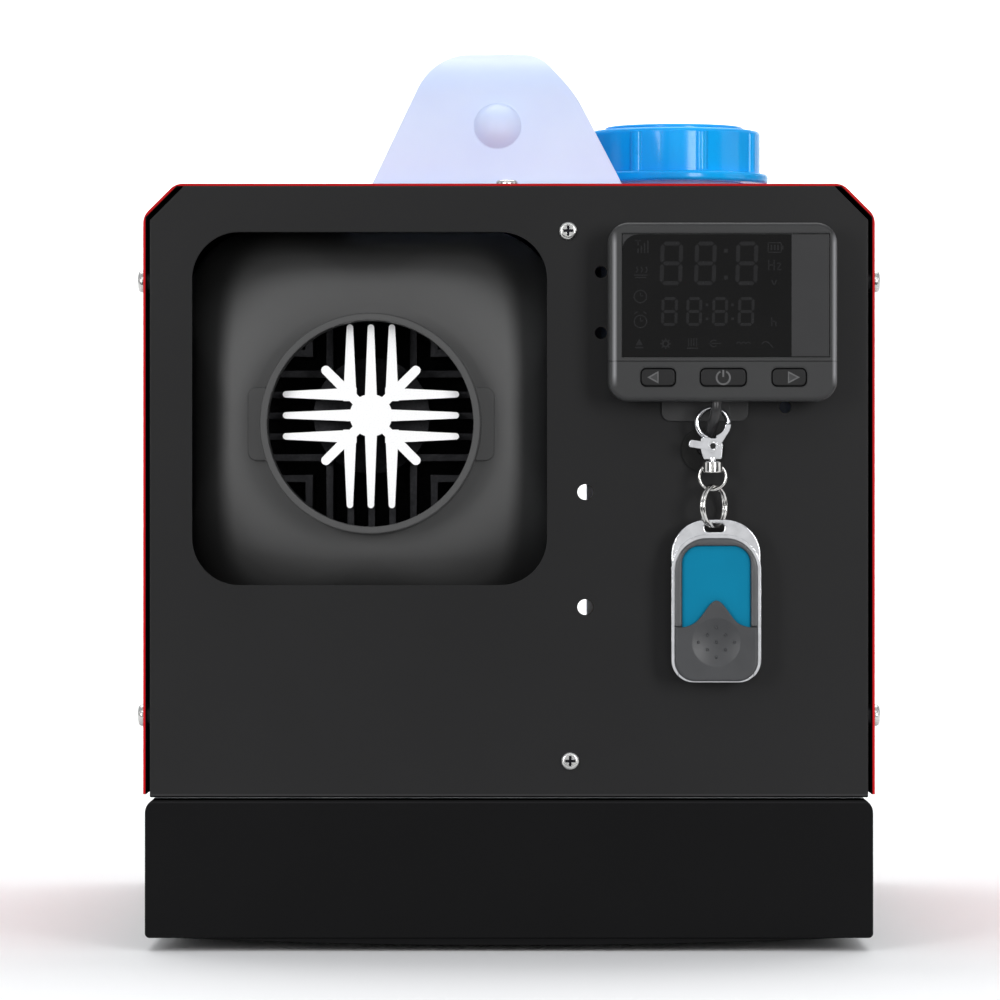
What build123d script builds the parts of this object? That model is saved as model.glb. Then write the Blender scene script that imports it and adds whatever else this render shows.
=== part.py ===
from build123d import *
import os
from math import cos, radians, sin, sqrt

# All sizes are millimetres. X is the width, Y the depth (front at -Y), Z is up.

# Base compartment, feet and bottom plate
foot_height = 2.0
foot_radius = 7.0
belly_depth = 2.6
belly_width = 230.0
base_height = 47.5
base_corner = 5.0
base_lip = 14.0
tray_sheet = 1.2
case_length = 376.0
base_overhang = 1.65

foot_x = 84.0
foot_y = 120.0
power_offset = -1.9
power_z = 28.0
power_radius = 7.0
power_wire_y = 150.0

# Upper case
panel_seam = 0.3
panel_width = 244.3
panel_height = 207.7
panel_sheet = 1.5
panel_chamfer = 11.4
panel_flange = 13.0
cover_sheet = 1.0
cover_gap = 1.3
cover_hem = 1.0
cover_corner_cut = 11.0
cover_bend = 6.0

louvre_count = 7
louvre_pitch = 12.0
louvre_length = 66.0
louvre_height = 5.0
louvre_low = 124.0
louvre_rows = (-86.0, 86.0)
slot_gap = 2.0
slot_width = 8.0
slot_rows = ((96.0, 128.0), (142.0, 174.0), (188.0, 220.0))
shield_gap = 13.3
shield_sheet = 1.0
shield_top = 249.0
tab_height = 14.0
tab_reach = 4.0
tab_sheet = 1.2

# Running and seating clearances
fit = 0.3
slide_fit = 0.2

# Screws
pan_head_radius = 3.75
pan_head_height = 2.0
small_head_radius = 3.15
small_head_height = 1.6
screw_radius = 2.0
screw_length = 6.0
cross_slot = 0.9
side_screw_heights = (80.1, 228.0)
panel_screw_offsets = ((1.9, 245.0), (2.6, 64.8))
top_screw_x = -0.7
bottom_screw_x = 82.0
bottom_screw_inset = 9.0

# Window and holes of the front panel
window_width = 120.7
window_height = 120.0
window_corner = 16.0
window_offset = -0.1
window_z = 184.6
hole_radius = 2.0
hole_insets = ((90.85, 231.0), (90.85, 210.3), (28.25, 185.1))
sight_hole_radius = 2.65
sight_hole_gap = 5.6
sight_hole_heights = (156.2, 117.1)
cable_hole_offset = -5.9
cable_hole_z = 170.5
cable_hole_radius = 6.0

# Heater
heater_inset = 74.85
heater_drop = 79.1
shell_width = 128.0
shell_height = 132.0
shell_corner = 26.0
shell_wall = 2.5
shell_front = -150.0
shell_rear = 168.0
nozzle_radius = 37.5
nozzle_bore = 35.2
nozzle_drop = 1.4
nozzle_collar = 15.8
hood_shoulder = 60.0
hood_corner = 38.0
hood_mouth = 41.5
nozzle_setback = 3.5
nozzle_land = 7.0
nozzle_shoulder = 0.4
hood_tab_rise = 2.2
core_radius = 50.0
core_rear = 50.0
core_tube = 38.0
nose_radius = 20.0
core_wall = 4.0
fin_front = -160.0
star_front = -172.0
dome_front = -124.0
foot_half_x = 54.0
foot_half_y = 42.0
housing_depth = 34.0
housing_radius = 46.0
wheel_front = 140.0
grille_depth = 18.0
plug_y = 30.0
plug_radius = 3.0
fin_pitch = 7.2
fin_tip = 2.2
fin_root = 4.6
star_rise = 1.5
star_hub = 7.3
wheel_radius = 52.0
wheel_hub = 24.0
wheel_depth = 22.0
blade_count = 11
shaft_radius = 3.0
motor_radius = 29.0
motor_length = 52.0
impeller_radius = 40.0

# Bench, gasket and pipes
bench_drop = 157.7
bench_width = 120.0
bench_length = 130.0
bench_y = 26.0
gasket_thickness = 3.0
exhaust_radius = 12.0
exhaust_bore = 11.0
exhaust_bend = 34.0
exhaust_offset = -22.7
exhaust_y = 10.0
intake_radius = 12.5
intake_bore = 11.0
intake_offset = 22.3
intake_y = 34.0
pipe_height = 27.0

stub_step = 0.3
intake_stub = 10.0
stud_radius = 3.0
stud_span_x = 88.0
stud_span_y = 62.0

# Fuel tank and cap
tank_heater_gap = 14.8
tank_side_gap = 5.15
tank_length = 349.0
tank_top_gap = 1.0
tank_wall = 2.5
tank_corner = 8.0
tank_bevel = 13.0
bridge_reach = 2.5
bridge_thickness = 8.0
handle_front = -156.0
handle_rear = 106.0
handle_foot = 54.0
handle_rise = 48.4
grip_thickness = 23.5
handle_base_reach = (112.6, 14.8)
handle_crest_reach = (85.4, 50.0)
handle_bend_reach = 36.9
handle_bend_drop = 14.9
handle_rounds = (22.0, 14.0, 45.0)
handle_end_round = 20.0
handle_lean = 14.0
knob_radius = 9.0
knob_drop = 27.2
knob_inset = 11.4
knob_reach = 63.8
cap_offset = -14.35
cap_y = -60.0
cap_radius = 31.0
cap_flange_radius = 33.9
cap_flange_thickness = 3.4
cap_lift_off = 6.5
cap_height = 19.0
cap_clearance = 1.5
cap_disc_radius = 25.0
cap_disc_rise = 1.5
cap_wall = 3.0
rib_count = 8
rib_radius = 2.5
rib_rise = 1.3
neck_radius = 24.0
neck_bore = 20.0
thread_pitch = 5.0
thread_depth = 1.6
thread_width = 1.6

# Fuel filter, pump and hoses
outlet_y = -170.0
outlet_z = 72.0
outlet_radius = 4.0
spigot_radius = 2.0
spigot_bore = 1.2
spigot_length = 9.0
hose_radius = 3.5
hose_bore = 2.05
filter_reach = (69.5, 39.5)
filter_radius = 11.0
pump_offset = -32.7
pump_radius = 13.0
pump_ends = (-144.0, -74.0)
plunger_radius = 5.0
plunger_travel = 3.0
plunger_ends = (-124.0, -96.0)
line_gap = 9.0
line_height = 109.5

# Controller
controller_inset = 50.25
controller_z = 216.8
controller_width = 77.2
controller_height = 60.2
controller_corner = 7.0
bracket_sheet = 1.5
back_depth = 10.5
bezel_depth = 8.0
bezel_wall = 1.6
back_wall = 1.6
screen_reach = (-33.9, 36.1)
screen_top = 243.2
screen_bottom = 201.6
button_offsets = (("button_left", -21.7, 12.0), ("button_power", 0.2, 15.9), ("button_right", 22.4, 12.0))
button_z = 194.8
button_height = 6.4
button_travel = 0.8
cable_radius = 1.9
cable_reach = 10.5
wall_gap = 0.15
front_wall = 2.0
board_sheet = 1.6
screen_rise = 0.4
bracket_size = (29.3, 56.2)
bracket_offset = -5.3
bracket_z = 208.4

# Key chain and remote
chain_y = -199.5
cable_exit_offset = -1.9
cable_exit_y = -203.6
ring_offset = -3.1
ring_z = 179.4
ring_radius = 5.2
ring_wire = 0.9
rivet_z = 171.9
swivel_z = 164.6
dee_radius = 4.5
dee_wire = 0.5
split_radius = 6.9
split_wire = 0.6
split_turn = 55.0
split_offset = -2.7
remote_offset = -2.0
remote_top = 146.9
remote_width = 30.2
remote_height = 54.9
remote_depth = 12.0
remote_corner = 7.5
clasp_thickness = 2.0
gate_gap = 0.3
gate_thickness = 1.2
rivet_radius = 0.9
body_bottom = 167.3
collar_radius = 3.4
collar_top = 166.6
collar_bottom = 162.6
dee_drop = 3.2
pin_radius = 1.2
pin_head_radius = 2.0
pin_head = (163.4, 164.6)
loop_depth = 2.0
loop_bar = 1.3
loop_slot = (6.6, 2.9)
shell_inset = 1.05
shell_top_z = 140.6
crown_rim = 1.2
rim_round = 0.7
slider_round = 0.8
slider_sheet = 1.7
slider_gap = 0.2
slider_shoulder = 110.6
slider_peak = 119.6
label_sheet = 0.6
label_width = 23.0
label_z = 124.3
label_height = 27.4
label_foot = 113.8
rail_x = 12.0
rail_width = 1.0
rail_depth = 0.8
rail_z = (96.0, 109.0)
remote_button_x = 8.2
remote_button_z = 103.0
remote_button_radius = 2.5

# Places across the width, each from the side or the piece that it keeps to
right_side = panel_width / 2
base_width = panel_width + 2 * base_overhang
heater_x = -right_side + heater_inset
window_centre = (heater_x + window_offset, window_z)
exhaust_x = heater_x + exhaust_offset
intake_x = heater_x + intake_offset
tank_left = heater_x + shell_width / 2 + tank_heater_gap
tank_right = right_side - tank_side_gap
cap_x = (tank_left + tank_right) / 2 + cap_offset
handle_base = (cap_x - handle_base_reach[0], cap_x - handle_base_reach[1])
handle_crest = (cap_x - handle_crest_reach[0], cap_x - handle_crest_reach[1])
handle_bend = cap_x - handle_bend_reach
knob_x = cap_x - knob_reach
bridge_left = handle_base[0] - bridge_reach
shield_x = tank_left - shield_gap
slot_x = tank_left - slot_gap
panel_screw_places = tuple((shield_x + offset, z) for offset, z in panel_screw_offsets)
sight_hole_places = tuple((tank_left - sight_hole_gap, z) for z in sight_hole_heights)
hole_places = tuple((right_side - inset, z) for inset, z in hole_insets)
controller_x = right_side - controller_inset
screen_left = controller_x + screen_reach[0]
screen_right = controller_x + screen_reach[1]
button_places = tuple((name, controller_x + offset, width) for name, offset, width in button_offsets)
cable_hole = (controller_x + cable_hole_offset, cable_hole_z)
cable_exit = (controller_x + cable_exit_offset, cable_exit_y)
ring_x = controller_x + ring_offset
split_x = controller_x + split_offset
remote_x = controller_x + remote_offset
power_x = controller_x + power_offset
filter_ends = tuple(tank_left - reach for reach in filter_reach)
pump_x = heater_x + pump_offset

# Levels and faces that follow from the sizes above
base_bottom = foot_height + belly_depth
base_top = base_bottom + base_height
floor_top = base_top + tray_sheet
front_face = -case_length / 2
rear_face = case_length / 2
panel_bottom = base_top + panel_seam
panel_top = panel_bottom + panel_height
cover_bottom = panel_bottom + cover_hem
cover_top = panel_top + cover_sheet
cover_half = panel_width / 2 + cover_gap + cover_sheet
handle_top = cover_top + handle_rise
knob_height = handle_top - knob_drop
cap_bottom = cover_top + cap_lift_off
cap_top = cap_bottom + cap_height
heater_z = panel_top - heater_drop
bench_height = panel_height - bench_drop
bench_top = floor_top + bench_height
gasket_top = bench_top + gasket_thickness
shell_bottom = heater_z - shell_height / 2
nozzle_z = heater_z - nozzle_drop
star_z = heater_z + star_rise
tank_top = panel_top - tank_top_gap
tank_bottom = floor_top
bridge_bottom = tank_top - bridge_thickness
panel_inside = front_face + panel_sheet
controller_back_face = front_face - bracket_sheet
controller_seam = controller_back_face - back_depth
controller_front = controller_seam - bezel_depth
exhaust_stub = -controller_front - rear_face
remote_bottom = remote_top - remote_height
remote_front = chain_y - remote_depth / 2
remote_back = chain_y + remote_depth / 2
face_y = remote_front + slider_sheet + slider_gap + label_sheet
split_middle = swivel_z - dee_drop - dee_radius + dee_wire + fit + split_wire - split_radius
neck_top = cap_top - cap_wall - 2.0
thread_start = cap_bottom + 2.0
line_rise_y = bench_y - bench_length / 2 - line_gap
foot_front = bench_y - foot_half_y - fit
motor_front = core_rear + housing_depth
impeller_front = core_rear + 12.0
board_face = controller_seam + 0.5
controller_bottom = controller_z - controller_height / 2
far = 2 * case_length

parts = {}


def block(x, y, z):
    """Box between three pairs of coordinates."""
    size = [abs(pair[1] - pair[0]) for pair in (x, y, z)]
    middle = [(pair[0] + pair[1]) / 2 for pair in (x, y, z)]
    return Pos(*middle) * Box(*size)


def rod_x(x, y, z, radius):
    return Pos((x[0] + x[1]) / 2, y, z) * Rot(0, 90, 0) * Cylinder(radius, abs(x[1] - x[0]))


def rod_y(x, y, z, radius):
    return Pos(x, (y[0] + y[1]) / 2, z) * Rot(90, 0, 0) * Cylinder(radius, abs(y[1] - y[0]))


def rod_z(x, y, z, radius):
    return Pos(x, y, (z[0] + z[1]) / 2) * Cylinder(radius, abs(z[1] - z[0]))


def along_y(sketch, y):
    """Prism of a sketch drawn in X and Z, between two depths."""
    plane = Plane(origin=(0, max(y), 0), x_dir=(1, 0, 0), z_dir=(0, -1, 0))
    return extrude(plane * sketch, abs(y[1] - y[0]))


def along_x(sketch, x):
    """Prism of a sketch drawn in Y and Z, between two widths."""
    plane = Plane(origin=(min(x), 0, 0), x_dir=(0, 1, 0), z_dir=(1, 0, 0))
    return extrude(plane * sketch, abs(x[1] - x[0]))


def rounded(centre, width, height, corner):
    return Pos(*centre) * RectangleRounded(width, height, corner)


def outline(points, radii):
    """Closed face with its corners rounded, one radius for each point."""
    return make_face(FilletPolyline(*points, radius=radii, close=True))


def pipe(points, radii, outer, inner=0):
    """Round tube along straight runs joined by tangent arcs."""
    path = FilletPolyline(*points, radius=radii)
    start = Plane(origin=path @ 0, z_dir=path % 0)
    solid = sweep(start * Circle(outer), path=path)
    if inner:
        solid -= sweep(start * Circle(inner), path=path)
    return solid


def phillips(head_radius, head_height):
    """Screw along +Z with its head's seat at zero, cross recess in the domed head."""
    head = Pos(0, 0, head_height / 2) * Cylinder(head_radius, head_height)
    head = fillet(head.faces().sort_by(Axis.Z)[-1].edges(), head_height * 0.7)
    recess = Pos(0, 0, head_height) * (
        Box(head_radius * 1.1, cross_slot, head_height) + Box(cross_slot, head_radius * 1.1, head_height)
    )
    shank = Pos(0, 0, -screw_length / 2) * Cylinder(screw_radius, screw_length)
    return head - recess + shank


def keep(name, *solids):
    parts[name] = list(solids)


# ---- Base compartment ----

def base_profile(inset):
    left, right = -base_width / 2 + inset, base_width / 2 - inset
    low, high = base_bottom + inset, base_top - inset
    top_round, low_round = base_corner - inset, 1.6 - inset
    points = [(left, low), (right, low), (right, high), (left, high)]
    return outline(points, [low_round, low_round, top_round, top_round])


def tray_holes():
    """Holes for the screws, the foot stems, the exhaust, the intake and the power inlet."""
    tools = [
        rod_z(x, y, (base_bottom - 1, base_bottom + 3), screw_radius)
        for x in (-bottom_screw_x, bottom_screw_x)
        for y in (front_face + bottom_screw_inset, rear_face - bottom_screw_inset)
    ]
    rear = (rear_face - 5, rear_face + 5)
    tools.append(rod_y(exhaust_x, rear, pipe_height, exhaust_radius + fit))
    tools.append(rod_y(intake_x, rear, pipe_height, intake_radius + fit))
    tools.append(rod_y(power_x, rear, power_z, power_radius + fit))
    return tools


def base_tray():
    solid = along_y(base_profile(0), (front_face, rear_face))
    solid -= along_y(base_profile(tray_sheet), (front_face + tray_sheet, rear_face - tray_sheet))
    half = base_width / 2 - base_lip
    solid -= block((-half, half), (front_face + base_lip, rear_face - base_lip), (base_top - 6, base_top + 1))
    for tool in tray_holes():
        solid -= tool
    return solid


def belly_face():
    """Shallow crowned section of the bottom plate."""
    half = belly_width / 2
    arc = ThreePointArc((-half, base_bottom), (0, base_bottom - belly_depth), (half, base_bottom))
    return make_face([arc, Line((half, base_bottom), (-half, base_bottom))])


def foot_places():
    return [(x, y) for x in (-foot_x, foot_x) for y in (-foot_y, foot_y)]


def bottom_plate():
    solid = along_y(belly_face(), (front_face + 1, rear_face - 1))
    for x, y in foot_places():
        solid -= rod_z(x, y, (0, base_bottom), foot_radius + fit)
    for x in (-bottom_screw_x, bottom_screw_x):
        for y in (front_face + bottom_screw_inset, rear_face - bottom_screw_inset):
            solid -= rod_z(x, y, (0, base_bottom), pan_head_radius + fit)
    return solid


def foot_pads():
    return [rod_z(x, y, (0, base_bottom), foot_radius) for x, y in foot_places()]


def floor_plate():
    half = panel_width / 2 - panel_sheet - fit
    solid = block((-half, half), (panel_inside, -panel_inside), (base_top, floor_top))
    solid -= rod_z(exhaust_x, exhaust_y, (base_top - 1, floor_top + 1), exhaust_radius + 3)
    solid -= rod_z(intake_x, intake_y, (base_top - 1, floor_top + 1), intake_radius + 3)
    solid -= rod_z(power_x - 45, power_wire_y, (base_top - 1, floor_top + 1), 6)
    return solid


def heater_bench():
    """Folded steel bench that lifts the heater's foot over the floor."""
    x = (heater_x - bench_width / 2, heater_x + bench_width / 2)
    y = (bench_y - bench_length / 2, bench_y + bench_length / 2)
    sheet = 2.0
    solid = block(x, y, (floor_top, bench_top))
    solid -= block((x[0] - 1, x[1] + 1), (y[0] + sheet, y[1] - sheet), (floor_top - 1, bench_top - sheet))
    for side, edge in ((-1, y[0]), (1, y[1])):
        solid += block(x, (edge, edge + side * 12), (floor_top, floor_top + sheet))
    for cx, cy, radius in stub_places():
        solid -= rod_z(cx, cy, (bench_top - 5, bench_top + 1), radius + 1.5)
    for cx, cy in stud_places():
        solid -= rod_z(cx, cy, (bench_top - 5, bench_top + 1), stud_radius + fit)
    return solid


def stub_places():
    return [(exhaust_x, exhaust_y, exhaust_radius), (intake_x, intake_y, intake_radius)]


def stud_places():
    return [
        (heater_x + side * stud_span_x / 2, bench_y + end * stud_span_y / 2)
        for side in (-1, 1) for end in (-1, 1)
    ]


# ---- Upper case ----

def panel_face(inset):
    """Front outline of a case panel with its two chamfered top corners."""
    half, top, cut = panel_width / 2 - inset, panel_top - inset, panel_chamfer - inset * 0.586
    points = [(-half, panel_bottom), (half, panel_bottom), (half, top - cut)]
    points += [(half - cut, top), (-half + cut, top), (-half, top - cut)]
    return outline(points, [0.5, 0.5, 0.5, 0.5, 0.5, 0.5])


def side_screw_places():
    edge = case_length / 2 - panel_flange / 2 - 0.5
    return [(end * edge, z) for end in (-1, 1) for z in side_screw_heights]


def panel_pan(mirror_side):
    """Folded sheet panel: a face with flanges bent back along the sides and the top."""
    face = front_face * mirror_side
    back = face + panel_flange * mirror_side
    inner = face + panel_sheet * mirror_side
    solid = along_y(panel_face(0), (face, back))
    front_edges = solid.edges().filter_by_position(Axis.Y, face - 0.01, face + 0.01)
    solid = fillet(front_edges, 0.4)
    cavity = along_y(panel_face(panel_sheet), (inner, back + mirror_side))
    half = panel_width / 2 - panel_sheet
    cavity += block((-half, half), (inner, back + mirror_side), (panel_bottom - 1, panel_bottom + 20))
    solid -= cavity
    for y, z in side_screw_places():
        if y * face > 0:
            for side in (-1, 1):
                wall = side * panel_width / 2
                solid += rod_x((wall, wall + side * cover_gap), y, z, pan_head_radius)
                solid -= rod_x((wall - side * 3, wall + side * 3), y, z, screw_radius)
    edge = face + mirror_side * (panel_flange / 2 + 0.5)
    solid -= rod_z(top_screw_x, edge, (panel_top - 3, panel_top + 1), screw_radius)
    for x, z in panel_screw_places:
        solid -= rod_y(x, (face - 3, face + 3), z, screw_radius)
    return solid


def front_panel():
    solid = panel_pan(1)
    through = (front_face - 2, front_face + 2)
    solid -= along_y(rounded(window_centre, window_width, window_height, window_corner), through)
    for x, z in hole_places:
        solid -= rod_y(x, through, z, hole_radius)
    for x, z in sight_hole_places:
        solid -= rod_y(x, through, z, sight_hole_radius)
    solid -= rod_y(cable_hole[0], through, cable_hole[1], cable_hole_radius)
    return solid


def rear_panel():
    """Rear sheet with the heater's air inlet and a column of vent slots on the sight lines."""
    solid = panel_pan(-1)
    through = (rear_face - 2, rear_face + 2)
    solid -= rod_y(heater_x, through, heater_z, wheel_radius + 3)
    for low, high in slot_rows:
        slot = SlotOverall(high - low, slot_width, rotation=90)
        solid -= along_y(Pos(slot_x, (low + high) / 2) * slot, through)
    return solid


def cover_face(inset):
    """Section of the folded red cover, with rounded chamfers at its top corners."""
    half, top, cut = cover_half - inset, cover_top - inset, cover_corner_cut - inset * 0.586
    points = [(-half, cover_bottom), (half, cover_bottom), (half, top - cut)]
    points += [(half - cut, top), (-half + cut, top), (-half, top - cut)]
    bend = cover_bend - inset
    return outline(points, [0, 0, bend, bend, bend, bend])


def top_cover():
    """Red sheet folded over both sides and the top, open where the handle and the neck come out."""
    inset_end = 1.0
    ends = (front_face + inset_end, rear_face - inset_end)
    solid = along_y(cover_face(0), ends)
    cavity = along_y(cover_face(cover_sheet), (ends[0] - 1, ends[1] + 1))
    half = cover_half - cover_sheet
    cavity += block((-half, half), (ends[0] - 1, ends[1] + 1), (cover_bottom - 1, cover_bottom + 5))
    solid -= cavity
    through = (cover_top - 4, cover_top + 2)
    x_middle, x_size = sum(handle_base) / 2, handle_base[1] - handle_base[0] + 4
    y_middle, y_size = (handle_front + handle_rear) / 2, handle_rear - handle_front + 4
    hole = Pos(x_middle, y_middle, through[0]) * extrude(RectangleRounded(x_size, y_size, 10), 6)
    solid -= hole
    solid -= rod_z(cap_x, cap_y, through, cap_flange_radius + 2.5)
    for end in (-1, 1):
        solid -= rod_z(top_screw_x, end * (case_length / 2 - panel_flange / 2 - 0.5), through, screw_radius)
    for side in (-1, 1):
        wall = (side * (cover_half - 4), side * (cover_half + 2))
        for y, z in side_screw_places():
            solid -= rod_x(wall, y, z, screw_radius)
        for y in louvre_rows:
            for row in range(louvre_count):
                slot = Pos(y, louvre_low + row * louvre_pitch) * SlotOverall(louvre_length, louvre_height)
                solid -= along_x(slot, wall)
    return solid


def heat_shield():
    """Upright sheet between the heater and the tank, with a screw tab at each end of its edges."""
    x = (shield_x, shield_x + shield_sheet)
    solid = block(x, (panel_inside, -panel_inside), (floor_top, shield_top))
    for end in (-1, 1):
        wall = -end * panel_inside
        for x_place, z in panel_screw_places:
            low, high = max(z - tab_height / 2, floor_top), min(z + tab_height / 2, shield_top)
            solid += block((shield_x, x_place + tab_reach), (wall, wall - end * tab_sheet), (low, high))
    for end in (-1, 1):
        wall = -end * panel_inside
        for x, z in panel_screw_places:
            solid -= rod_y(x, (wall - 12, wall + 12), z, screw_radius)
    solid -= rod_x((shield_x - 1, shield_x + 3), outlet_y, outlet_z, hose_radius + fit)
    return solid


def cover_screws():
    solids = []
    for side in (-1, 1):
        for y, z in side_screw_places():
            place = Pos(side * cover_half, y, z) * Rot(0, side * 90, 0)
            solids.append(place * phillips(pan_head_radius, pan_head_height))
    for end in (-1, 1):
        place = Pos(top_screw_x, end * (case_length / 2 - panel_flange / 2 - 0.5), cover_top)
        solids.append(place * phillips(pan_head_radius, pan_head_height * 0.75))
    return solids


def case_screws():
    """Small cross-head screws of the panels and of the bottom plate."""
    solids = []
    for end in (-1, 1):
        for x, z in panel_screw_places:
            place = Pos(x, end * case_length / 2, z) * Rot(-90 * end, 0, 0)
            solids.append(place * phillips(small_head_radius, small_head_height))
    for x in (-bottom_screw_x, bottom_screw_x):
        for y in (front_face + bottom_screw_inset, rear_face - bottom_screw_inset):
            place = Pos(x, y, base_bottom) * Rot(180, 0, 0)
            solids.append(place * phillips(small_head_radius, small_head_height))
    return solids


# ---- Fuel tank, cap and fuel path ----

def ridge(grow):
    """Handle ridge: its rounded outline seen from the front, cut to a shape that leans in at both ends."""
    low = bridge_bottom - grow
    points = [(handle_base[0], bridge_bottom), (handle_crest[0], handle_top), (handle_crest[1], handle_top)]
    points += [(handle_bend, handle_top - handle_bend_drop), (handle_base[1], bridge_bottom)]
    face = outline(points, [0, *handle_rounds, 0])
    if grow:
        face = offset(face, amount=grow)
    front, rear, high = handle_front - grow, handle_rear + grow, handle_top + grow
    ends = [(front, low), (front + handle_lean, high), (rear - handle_lean, high), (rear, low)]
    end_round = handle_end_round + grow
    side = outline(ends, [0, end_round, end_round, 0])
    body = along_y(face, (front - 1, rear + 1)) & along_x(side, (-far, far))
    clearance = rod_z(cap_x, cap_y, (0, far), cap_flange_radius + cap_clearance - grow)
    return body - clearance


def tank_form(grow):
    """Tank leg, the thin bridge over the heater, the handle ridge and the neck, grown or shrunk evenly."""
    x = (tank_left - grow, tank_right + grow)
    y = (-tank_length / 2 - grow, tank_length / 2 + grow)
    leg = block(x, y, (tank_bottom - grow, tank_top + grow))
    leg = fillet(leg.edges().filter_by(Axis.Z), tank_corner + grow)
    slope = block((0, far), (-far, far), (0, far))
    corner = Pos(tank_right + grow * 1.414 - tank_bevel, 0, tank_top) * Rot(0, 45, 0) * slope
    leg -= corner
    bridge_x = (bridge_left - grow, tank_left + tank_corner)
    bridge_y = (handle_front - 2 - grow, handle_rear + 2 + grow)
    bridge = block(bridge_x, bridge_y, (bridge_bottom - grow, tank_top + grow))
    return leg + bridge + (ridge(grow) - finger_window(grow))


def finger_window(grow):
    y = (handle_front + handle_foot + grow, handle_rear - handle_foot - grow)
    z = (tank_top + grow, handle_top - grip_thickness - grow)
    gap = RectangleRounded(y[1] - y[0], 2 * (z[1] - z[0]), 8 - grow)
    gap = Pos(sum(y) / 2, z[0]) * (gap - Pos(0, -z[1]) * Rectangle(far, 2 * z[1]))
    return along_x(gap, (-far, far))


def screw_thread(root_radius, crest_radius, start, turns):
    """One helical ridge of trapezoid section that stands on its root radius."""
    helix = Helix(thread_pitch, thread_pitch * turns, root_radius)
    profile = Plane(origin=helix @ 0, x_dir=(1, 0, 0), z_dir=helix % 0)
    depth = crest_radius - root_radius
    root = -0.3 if depth > 0 else 0.3
    half = thread_width / 2
    wide, narrow = half * 1.6, half * 0.6
    shape = Polyline((root, -wide), (depth, -narrow), (depth, narrow), (root, wide), close=True)
    section = profile * make_face(shape)
    return Pos(cap_x, cap_y, start) * sweep(section, path=helix, is_frenet=True)


def fuel_tank():
    knob_middle = Pos(knob_x, handle_front + knob_inset, knob_height)
    solid = tank_form(0) + knob_middle * Sphere(knob_radius)
    solid += rod_z(cap_x, cap_y, (tank_top - 3, neck_top), neck_radius)
    solid -= tank_form(-tank_wall)
    solid -= rod_z(cap_x, cap_y, (tank_top - 6, neck_top + 1), neck_bore)
    solid -= knob_middle * Sphere(knob_radius - tank_wall)
    solid -= rod_x((tank_left - 1, tank_left + 6), outlet_y, outlet_z, outlet_radius)
    solid += screw_thread(neck_radius, neck_radius + thread_depth, thread_start, 1.5)
    return solid


def fuel_cap():
    """Blue screw cap: ribbed skirt, flange at the foot, raised disc on top, thread inside."""
    solid = rod_z(cap_x, cap_y, (cap_bottom, cap_top), cap_radius)
    rim = solid.faces().sort_by(Axis.Z)[-1].edges()
    solid = fillet(rim, 1.5)
    flange = rod_z(cap_x, cap_y, (cap_bottom, cap_bottom + cap_flange_thickness), cap_flange_radius)
    solid += fillet(flange.edges(), cap_flange_thickness * 0.35)
    disc = rod_z(cap_x, cap_y, (cap_top - 1, cap_top + cap_disc_rise), cap_disc_radius)
    solid += fillet(disc.faces().sort_by(Axis.Z)[-1].edges(), 0.8)
    for index in range(rib_count):
        rib = rod_z(cap_radius + rib_rise - rib_radius, 0, (cap_bottom, cap_top - 1.5), rib_radius)
        angle = -73.0 + index * 360 / rib_count
        solid += Pos(cap_x, cap_y, 0) * Rot(0, 0, angle) * rib
    bore = neck_radius + thread_depth + fit
    solid -= rod_z(cap_x, cap_y, (cap_bottom - 1, cap_top - cap_wall), bore)
    groove = screw_thread(bore, bore - thread_depth, thread_start + thread_pitch / 2, 1.0)
    return solid + groove


def cap_seal():
    return rod_z(cap_x, cap_y, (neck_top + 0.1, cap_top - cap_wall - 0.1), neck_radius)


def tank_fitting():
    """Spigot screwed into the tank's left wall, with its collar against the wall."""
    solid = rod_x((tank_left - 3, tank_left), outlet_y, outlet_z, 7)
    solid += rod_x((tank_left - 0.5, tank_left + 4), outlet_y, outlet_z, outlet_radius - 0.1)
    solid += rod_x((tank_left - spigot_length, tank_left), outlet_y, outlet_z, spigot_radius)
    return solid - rod_x((tank_left - 20, tank_left + 6), outlet_y, outlet_z, spigot_bore)


def fuel_filter():
    solid = rod_x(filter_ends, outlet_y, outlet_z, filter_radius)
    solid = fillet(solid.edges(), 2.0)
    low, high = filter_ends
    solid += rod_x((low - spigot_length, low + 1), outlet_y, outlet_z, spigot_radius)
    solid += rod_x((high - 1, high + spigot_length), outlet_y, outlet_z, spigot_radius)
    middle = (low + high) / 2
    return solid + block((middle - 5, middle + 5), (outlet_y - 8, outlet_y + 8), (floor_top, outlet_z - 4))


def pump_body():
    """Dosing pump: solenoid barrel with two spigots, bored for its plunger."""
    low, high = pump_ends
    solid = rod_y(pump_x, pump_ends, outlet_z, pump_radius)
    solid = fillet(solid.edges(), 2.5)
    solid += rod_y(pump_x, (low - spigot_length, low + 1), outlet_z, spigot_radius)
    solid += rod_y(pump_x, (high - 1, high + spigot_length), outlet_z, spigot_radius)
    chamber = (plunger_ends[0] - fit, plunger_ends[1] + plunger_travel + fit)
    solid -= rod_y(pump_x, chamber, outlet_z, plunger_radius + 0.05)
    return solid - rod_y(pump_x, (low - 13, high + 13), outlet_z, spigot_bore)


def pump_plunger():
    solid = rod_y(pump_x, plunger_ends, outlet_z, plunger_radius)
    return solid - rod_y(pump_x, (-far, far), outlet_z, spigot_bore)


def pump_mount():
    """Rubber cradle clamped round the pump, standing on the floor."""
    y = (-118.0, -102.0)
    solid = block((pump_x - 18, pump_x + 18), y, (floor_top, outlet_z + 17))
    solid = fillet(solid.edges().filter_by(Axis.Y).sort_by(Axis.Z)[-2:], 10)
    return solid - rod_y(pump_x, (y[0] - 1, y[1] + 1), outlet_z, pump_radius)


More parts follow.
